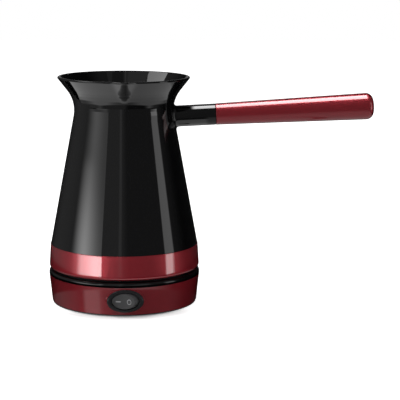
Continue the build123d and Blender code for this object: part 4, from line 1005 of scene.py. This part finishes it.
# %% Place the camera
LENS = 130.58
CAMERA_AWAY, CAMERA_UP, CAMERA_AROUND = 1092.45, 270.81, 0.5
YAW, PITCH, ROLL = 3.0355 + CAMERA_AROUND, 10.02, 0.304
camera_data = bpy.data.cameras.new("camera")
camera_data.lens, camera_data.sensor_width = LENS, 36
camera = bpy.data.objects.new("camera", camera_data)
bpy.context.scene.collection.objects.link(camera)
around = radians(CAMERA_AROUND)
place = Vector((-sin(around), -cos(around), 0)) * CAMERA_AWAY + Vector((0, 0, CAMERA_UP))
turn = Matrix.Rotation(-radians(YAW), 4, "Z") @ Matrix.Rotation(radians(90 - PITCH), 4, "X")
camera.matrix_world = Matrix.Translation(place * MM) @ turn @ Matrix.Rotation(radians(ROLL), 4, "Z")
bpy.context.scene.camera = camera
print("camera at", [round(c) for c in place], "mm")

# %% [markdown]
# ## The white room
# The table and the room are white. The world is white where the camera looks, and
# also in mirrors and glass, and gives only a soft fill to everything else. The floor
# takes the shadow that the lamps cast and is otherwise as white as the room. A glow on
# camera rays lifts it to white; it leaves off close round the base, mostly in front of
# it, and so paints a shadow there, darker than the one the lamps cast.

# %% World and floor
FILL = 0.42
world = bpy.data.worlds.new("white_room")
room = Finish("white_room", world)
bpy.context.scene.world = world
kinds = ("Is Camera Ray", "Is Glossy Ray", "Is Transmission Ray")
camera_ray, glossy_ray, through_ray = (room.node("ShaderNodeLightPath", output=kind) for kind in kinds)
seen_white = (camera_ray + glossy_ray + through_ray).smaller(1.0)
sky = room.tree.nodes["Background"]
room.feed(sky.inputs["Strength"], FILL + (1 - FILL) * seen_white)
sky.inputs["Color"].default_value = (1, 1, 1, 1)


def stage_plane(name, width, depth, centre, material):
    """A flat sheet of the studio, in mm."""
    sheet = started(name, bpy.ops.mesh.primitive_plane_add, size=1, location=Vector(centre) * MM)
    sheet.scale = (width * MM, depth * MM, 1)
    bpy.ops.object.transform_apply()
    sheet.data.materials.append(material)
    return sheet


def split(vector):
    """The x, y and z of a vector as three values."""
    first = vector.finish.node("ShaderNodeSeparateXYZ", None, {0: vector})
    return [Value(vector.finish, socket) for socket in first.socket.node.outputs]


def across_and_along(finish):
    """The x, y and z of a place as three values in mm."""
    return [axis / MM for axis in split(finish.where())]


FLOOR_COLOUR = 0.8
NEAR_R, MIDDLE_R, FAR_R = 58.0, 74.0, 120.0
floor_white = Finish("floor_white")
x, y, _ = across_and_along(floor_white)
from_object = x.maths("SQRT", x * x + y * y)
on_camera = floor_white.node("ShaderNodeLightPath", output="Is Camera Ray")
# Painted shadow: the glow falls off close round the base, most in front and less beside it, so the floor
# there darkens as if in shade.
beside = y.between(-50, -25) * (1 - from_object.between(NEAR_R, FAR_R))
glow_and_painted_shadow = 0.2 + 0.45 * from_object.between(NEAR_R, MIDDLE_R) + 0.55 * beside
glow_and_painted_shadow = glow_and_painted_shadow + 0.35 * from_object.between(MIDDLE_R, FAR_R)
floor_white.surface(
    base_color=(FLOOR_COLOUR,) * 3 + (1,),
    roughness=1.0,
    specular_ior_level=0.0,
    emission_color=on_camera * glow_and_painted_shadow,
    emission_strength=1.0,
)
floor = stage_plane("floor", 6000, 6000, (0, 0, 0), floor_white.material)
floor.visible_glossy = False

# %% [markdown]
# ## What the gloss sees
# Gloss black has no colour of its own to show: its shape is drawn by what it mirrors.
# A photographer builds that with soft boxes, strips and dark flags. Here a wide round
# wall stands about the object that only glossy rays can see. Its glow is a sum of soft
# edged panels. Each is written as a bearing round the object, 0 towards the camera and
# positive to the right, and as a lift above the level of the pot, both in degrees. Each
# ray also tells the height that it set out from, so a panel can light the red band and
# leave the black pot above it alone, as a grid in front of a soft box does.

# %% The round wall of panels
WALL_R, WALL_LOW, WALL_HIGH, EYE_Z = 1500.0, -1100.0, 1300.0, 90.0
BODY_NEAR_R = 50.0


def only_in_mirrors(thing):
    thing.visible_camera = thing.visible_diffuse = thing.visible_shadow = False
    thing.visible_transmission = thing.visible_volume_scatter = False


def looking_back(finish):
    """The direction back to where a ray came from, as three values."""
    return split(finish.node("ShaderNodeNewGeometry", output="Incoming"))


panels = Finish("mirror_wall")
x, y, z = across_and_along(panels)
back_x, back_y, back_z = looking_back(panels)
back_level = x.maths("SQRT", back_x * back_x + back_y * back_y)
from_height = z + (WALL_R - BODY_NEAR_R) * back_z / back_level
bearing = x.maths("ARCTAN2", x, 0 - y) * degrees(1)
lift = z.maths("ARCTAN2", z - EYE_Z, WALL_R) * degrees(1)


def panel(along, start, start_soft, end, end_soft):
    """1 between start and end, falling to 0 over the soft widths outside them."""
    return along.between(start - start_soft, start) * (1 - along.between(end, end + end_soft))


# %% [markdown]
# The big soft box stands to the left. Its right edge is crisp, its left edge fades, and
# its lower middle is brightest, as of a lamp behind cloth. A narrow strip answers it on
# the right. The neck sees the whole box at once, so it is left out of the lamp's glow.

# %% The soft box and the strip
box_height = panel(lift, -14, 2, 24, 6)
cloth = 1.5 - 0.8 * bearing.between(-66, -36)
bulb = 4.1 * lift.between(-2.5, 3.5) * (1 - lift.between(1.5, 11.8)) * (1 - 0.8 * bearing.between(-68, -34))
bulb = bulb * (1 - from_height.between(108, 124))
left_box = panel(bearing, -63, 29, -35.7, 1.0) * box_height * (cloth + bulb)
right_strip = panel(bearing, 64.5, 1.5, 79, 3) * box_height * (1.45 + 0.9 * (1 - lift.between(-2, 1.5)))

# %% [markdown]
# The red lacquer is lighter than the black, and a box bright enough to show on it would
# burn out the pot. So the band and the wall of the base each have a glow of their own
# that only rays from their height meet.

# %% The glow for the red band and the red wall
band_box = (bearing.between(-79, -67) + bearing.between(-67, -42)) * (1 - bearing.between(-35.4, -34.6))
band_glow = (5.8 * band_box + 2.9 * panel(bearing, 65.7, 0.8, 77, 1.0)) * panel(lift, -17, 3, -3, 3)
band_glow = band_glow * panel(from_height, BAND_LOW_Z, 1.5, BAND_TOP_Z - 1, 1.5)
base_glow = 1.7 * panel(bearing, -66, 12, -40, 8) + 0.5 * panel(bearing, 30, 40, 80, 20)
base_glow = base_glow * lift.between(-22, -19) * panel(from_height, 3, 3, BASE_SPLIT_Z, 1)

# %% [markdown]
# The rest of the room is nearly dark: a pale wall in front, a pool of light low on the
# left for the neck, and a little light behind that draws the edges of the pot.

# %% The rest of the room
pale_wall = bearing.between(-36, -35.5) * (1 - bearing.between(-8, 6)) * 0.18
pale_edge = panel(bearing, -8.5, 2, -6, 2) * 0.2
low_pool = panel(bearing, -62, 10, -44, 12) * panel(lift, -36, 4, -18, 4) * 0.95
back_light = (1 - panel(bearing, -166, 8, 168, 6)) * 0.25
left_rest = bearing.between(-165, -92) * (1 - bearing.between(-90, -70)) * 0.12
front_rest = bearing.between(-165, -95) * (1 - bearing.between(72, 112)) * 0.12
glow = left_box + right_strip + band_glow + base_glow + pale_wall + pale_edge + low_pool
glow = glow + back_light + left_rest + front_rest + 0.01


def glowing(finish, light):
    """A material that only shines, as brightly as this value says."""
    emission = finish.node("ShaderNodeEmission", None, {"Color": light})
    finish.feed(finish.tree.nodes["Material Output"].inputs["Surface"], emission)
    return finish.material


drum = {"vertices": 128, "radius": WALL_R * MM, "depth": (WALL_HIGH - WALL_LOW) * MM}
drum["location"] = (0, 0, (WALL_HIGH + WALL_LOW) / 2 * MM)
mirror_wall = started("mirror_wall", bpy.ops.mesh.primitive_cylinder_add, **drum)
bpy.ops.object.transform_apply()
mirror_wall.data.materials.append(glowing(panels, glow))
only_in_mirrors(mirror_wall)

# %% [markdown]
# ## Boxes overhead
# Two soft boxes hang above. A wide one high over the handle draws the light line along
# the grip. It has a grid, so that it lights the handle alone and not the mouth or the
# rims. The other hangs to the left and looks into the mouth, with a weaker one beside.

# %% Hang the boxes
HANDLE_TOP_Z, HANDLE_UNDER_Z, HANDLE_HALF = 150.0, 135.0, 13.0
OFF_GRID = 0.25


def mirror_sheet(name, low, high, z, light, lights_beyond=None):
    """A glowing sheet; lights_beyond keeps its light for the handle beyond that x."""
    centre = [(a + b) / 2 for a, b in zip(low, high)]
    size = [b - a for a, b in zip(low, high)]
    sheet = Finish(name)
    if lights_beyond:
        back_x, back_y, back_z = looking_back(sheet)
        x, y, _ = across_and_along(sheet)
        from_x = x - (z - HANDLE_TOP_Z) * back_x / back_z
        from_y = y - (z - HANDLE_TOP_Z) * back_y / back_z
        on_handle = from_x.between(lights_beyond - 2, lights_beyond + 2)
        light = OFF_GRID + light * on_handle * panel(from_y, -HANDLE_HALF, 2, HANDLE_HALF, 2)
    else:
        light = (light, light, light, 1)
    only_in_mirrors(stage_plane(name, *size, (*centre, z), glowing(sheet, light)))


mirror_sheet("handle_box", (38, -290), (420, 530), 1290, 13.0, lights_beyond=52)
mirror_sheet("mouth_box", (-325, 0), (-166, 192), 500, 3.3)
mirror_sheet("mouth_fill", (-166, -80), (-30, 0), 500, 0.4)

# %% [markdown]
# ## Cards below
# White cards lie round the pot on a grey table, and the underside of the flare mirrors
# them as grey. They too lie under a grid and light only what is steeply above them, so
# the red band and the red wall of the base stay dark. Under the grip there is no card.

# %% Lay the cards
def card_ring(name, inner, outer, z):
    """A flat ring that glows as a white card on a grey table, only for steep rays."""
    card = Finish(name)
    x, y, _ = across_and_along(card)
    back_x, _, back_z = looking_back(card)
    steep = back_z.between(0.38, 0.44) * (1 - y.between(188, 200))
    under_grip = (x + (HANDLE_UNDER_Z - z) * back_x / back_z).between(61, 66)
    paper = panel(x, -250, 100, 300, 90) * y.between(-235, -170)
    paper = paper * (1 - under_grip) * (1.4 - 0.45 * x.between(-20, 60))
    table = 0.36 - 0.18 * x.between(-10, 60) + 0.3 * under_grip - 0.13 * (1 - y.between(-250, -200))
    corners = [(inner, z), (outer, z), (outer, z - 1), (inner, z - 1)]
    ring = spun(name, [Vector(corner) for corner in corners])
    ring.data.materials.append(glowing(card, steep * (paper + table * (1 - paper.smaller(1.0)))))
    only_in_mirrors(ring)


card_ring("inner_card", 61.0, 104.0, 23.5)
card_ring("middle_card", 106.0, 166.0, 2.0)
card_ring("outer_card", 186.0, 420.0, -40.0)

# %% [markdown]
# ## Plain lamps
# The lamps light the object and the table at a plain level. A large soft lamp from
# the upper left is the key and a weaker one from the right fills. Their own shapes
# don't show in the gloss, because the panels above do that.

# %% Lamps
def soft_lamp(name, place, aim, size, watts):
    data = bpy.data.lights.new(name, "AREA")
    data.energy, data.size = watts, size * MM
    lamp = bpy.data.objects.new(name, data)
    bpy.context.scene.collection.objects.link(lamp)
    facing = (Vector(aim) - Vector(place)).to_track_quat("-Z", "Y")
    lamp.matrix_world = Matrix.Translation(Vector(place) * MM) @ facing.to_matrix().to_4x4()
    lamp.visible_glossy = False


soft_lamp("key", (-700, -500, 1100), (0, 0, 60), 700, 11.0)
soft_lamp("fill", (800, -600, 900), (0, 0, 60), 600, 4.0)
bpy.context.scene.view_settings.view_transform = "Standard"
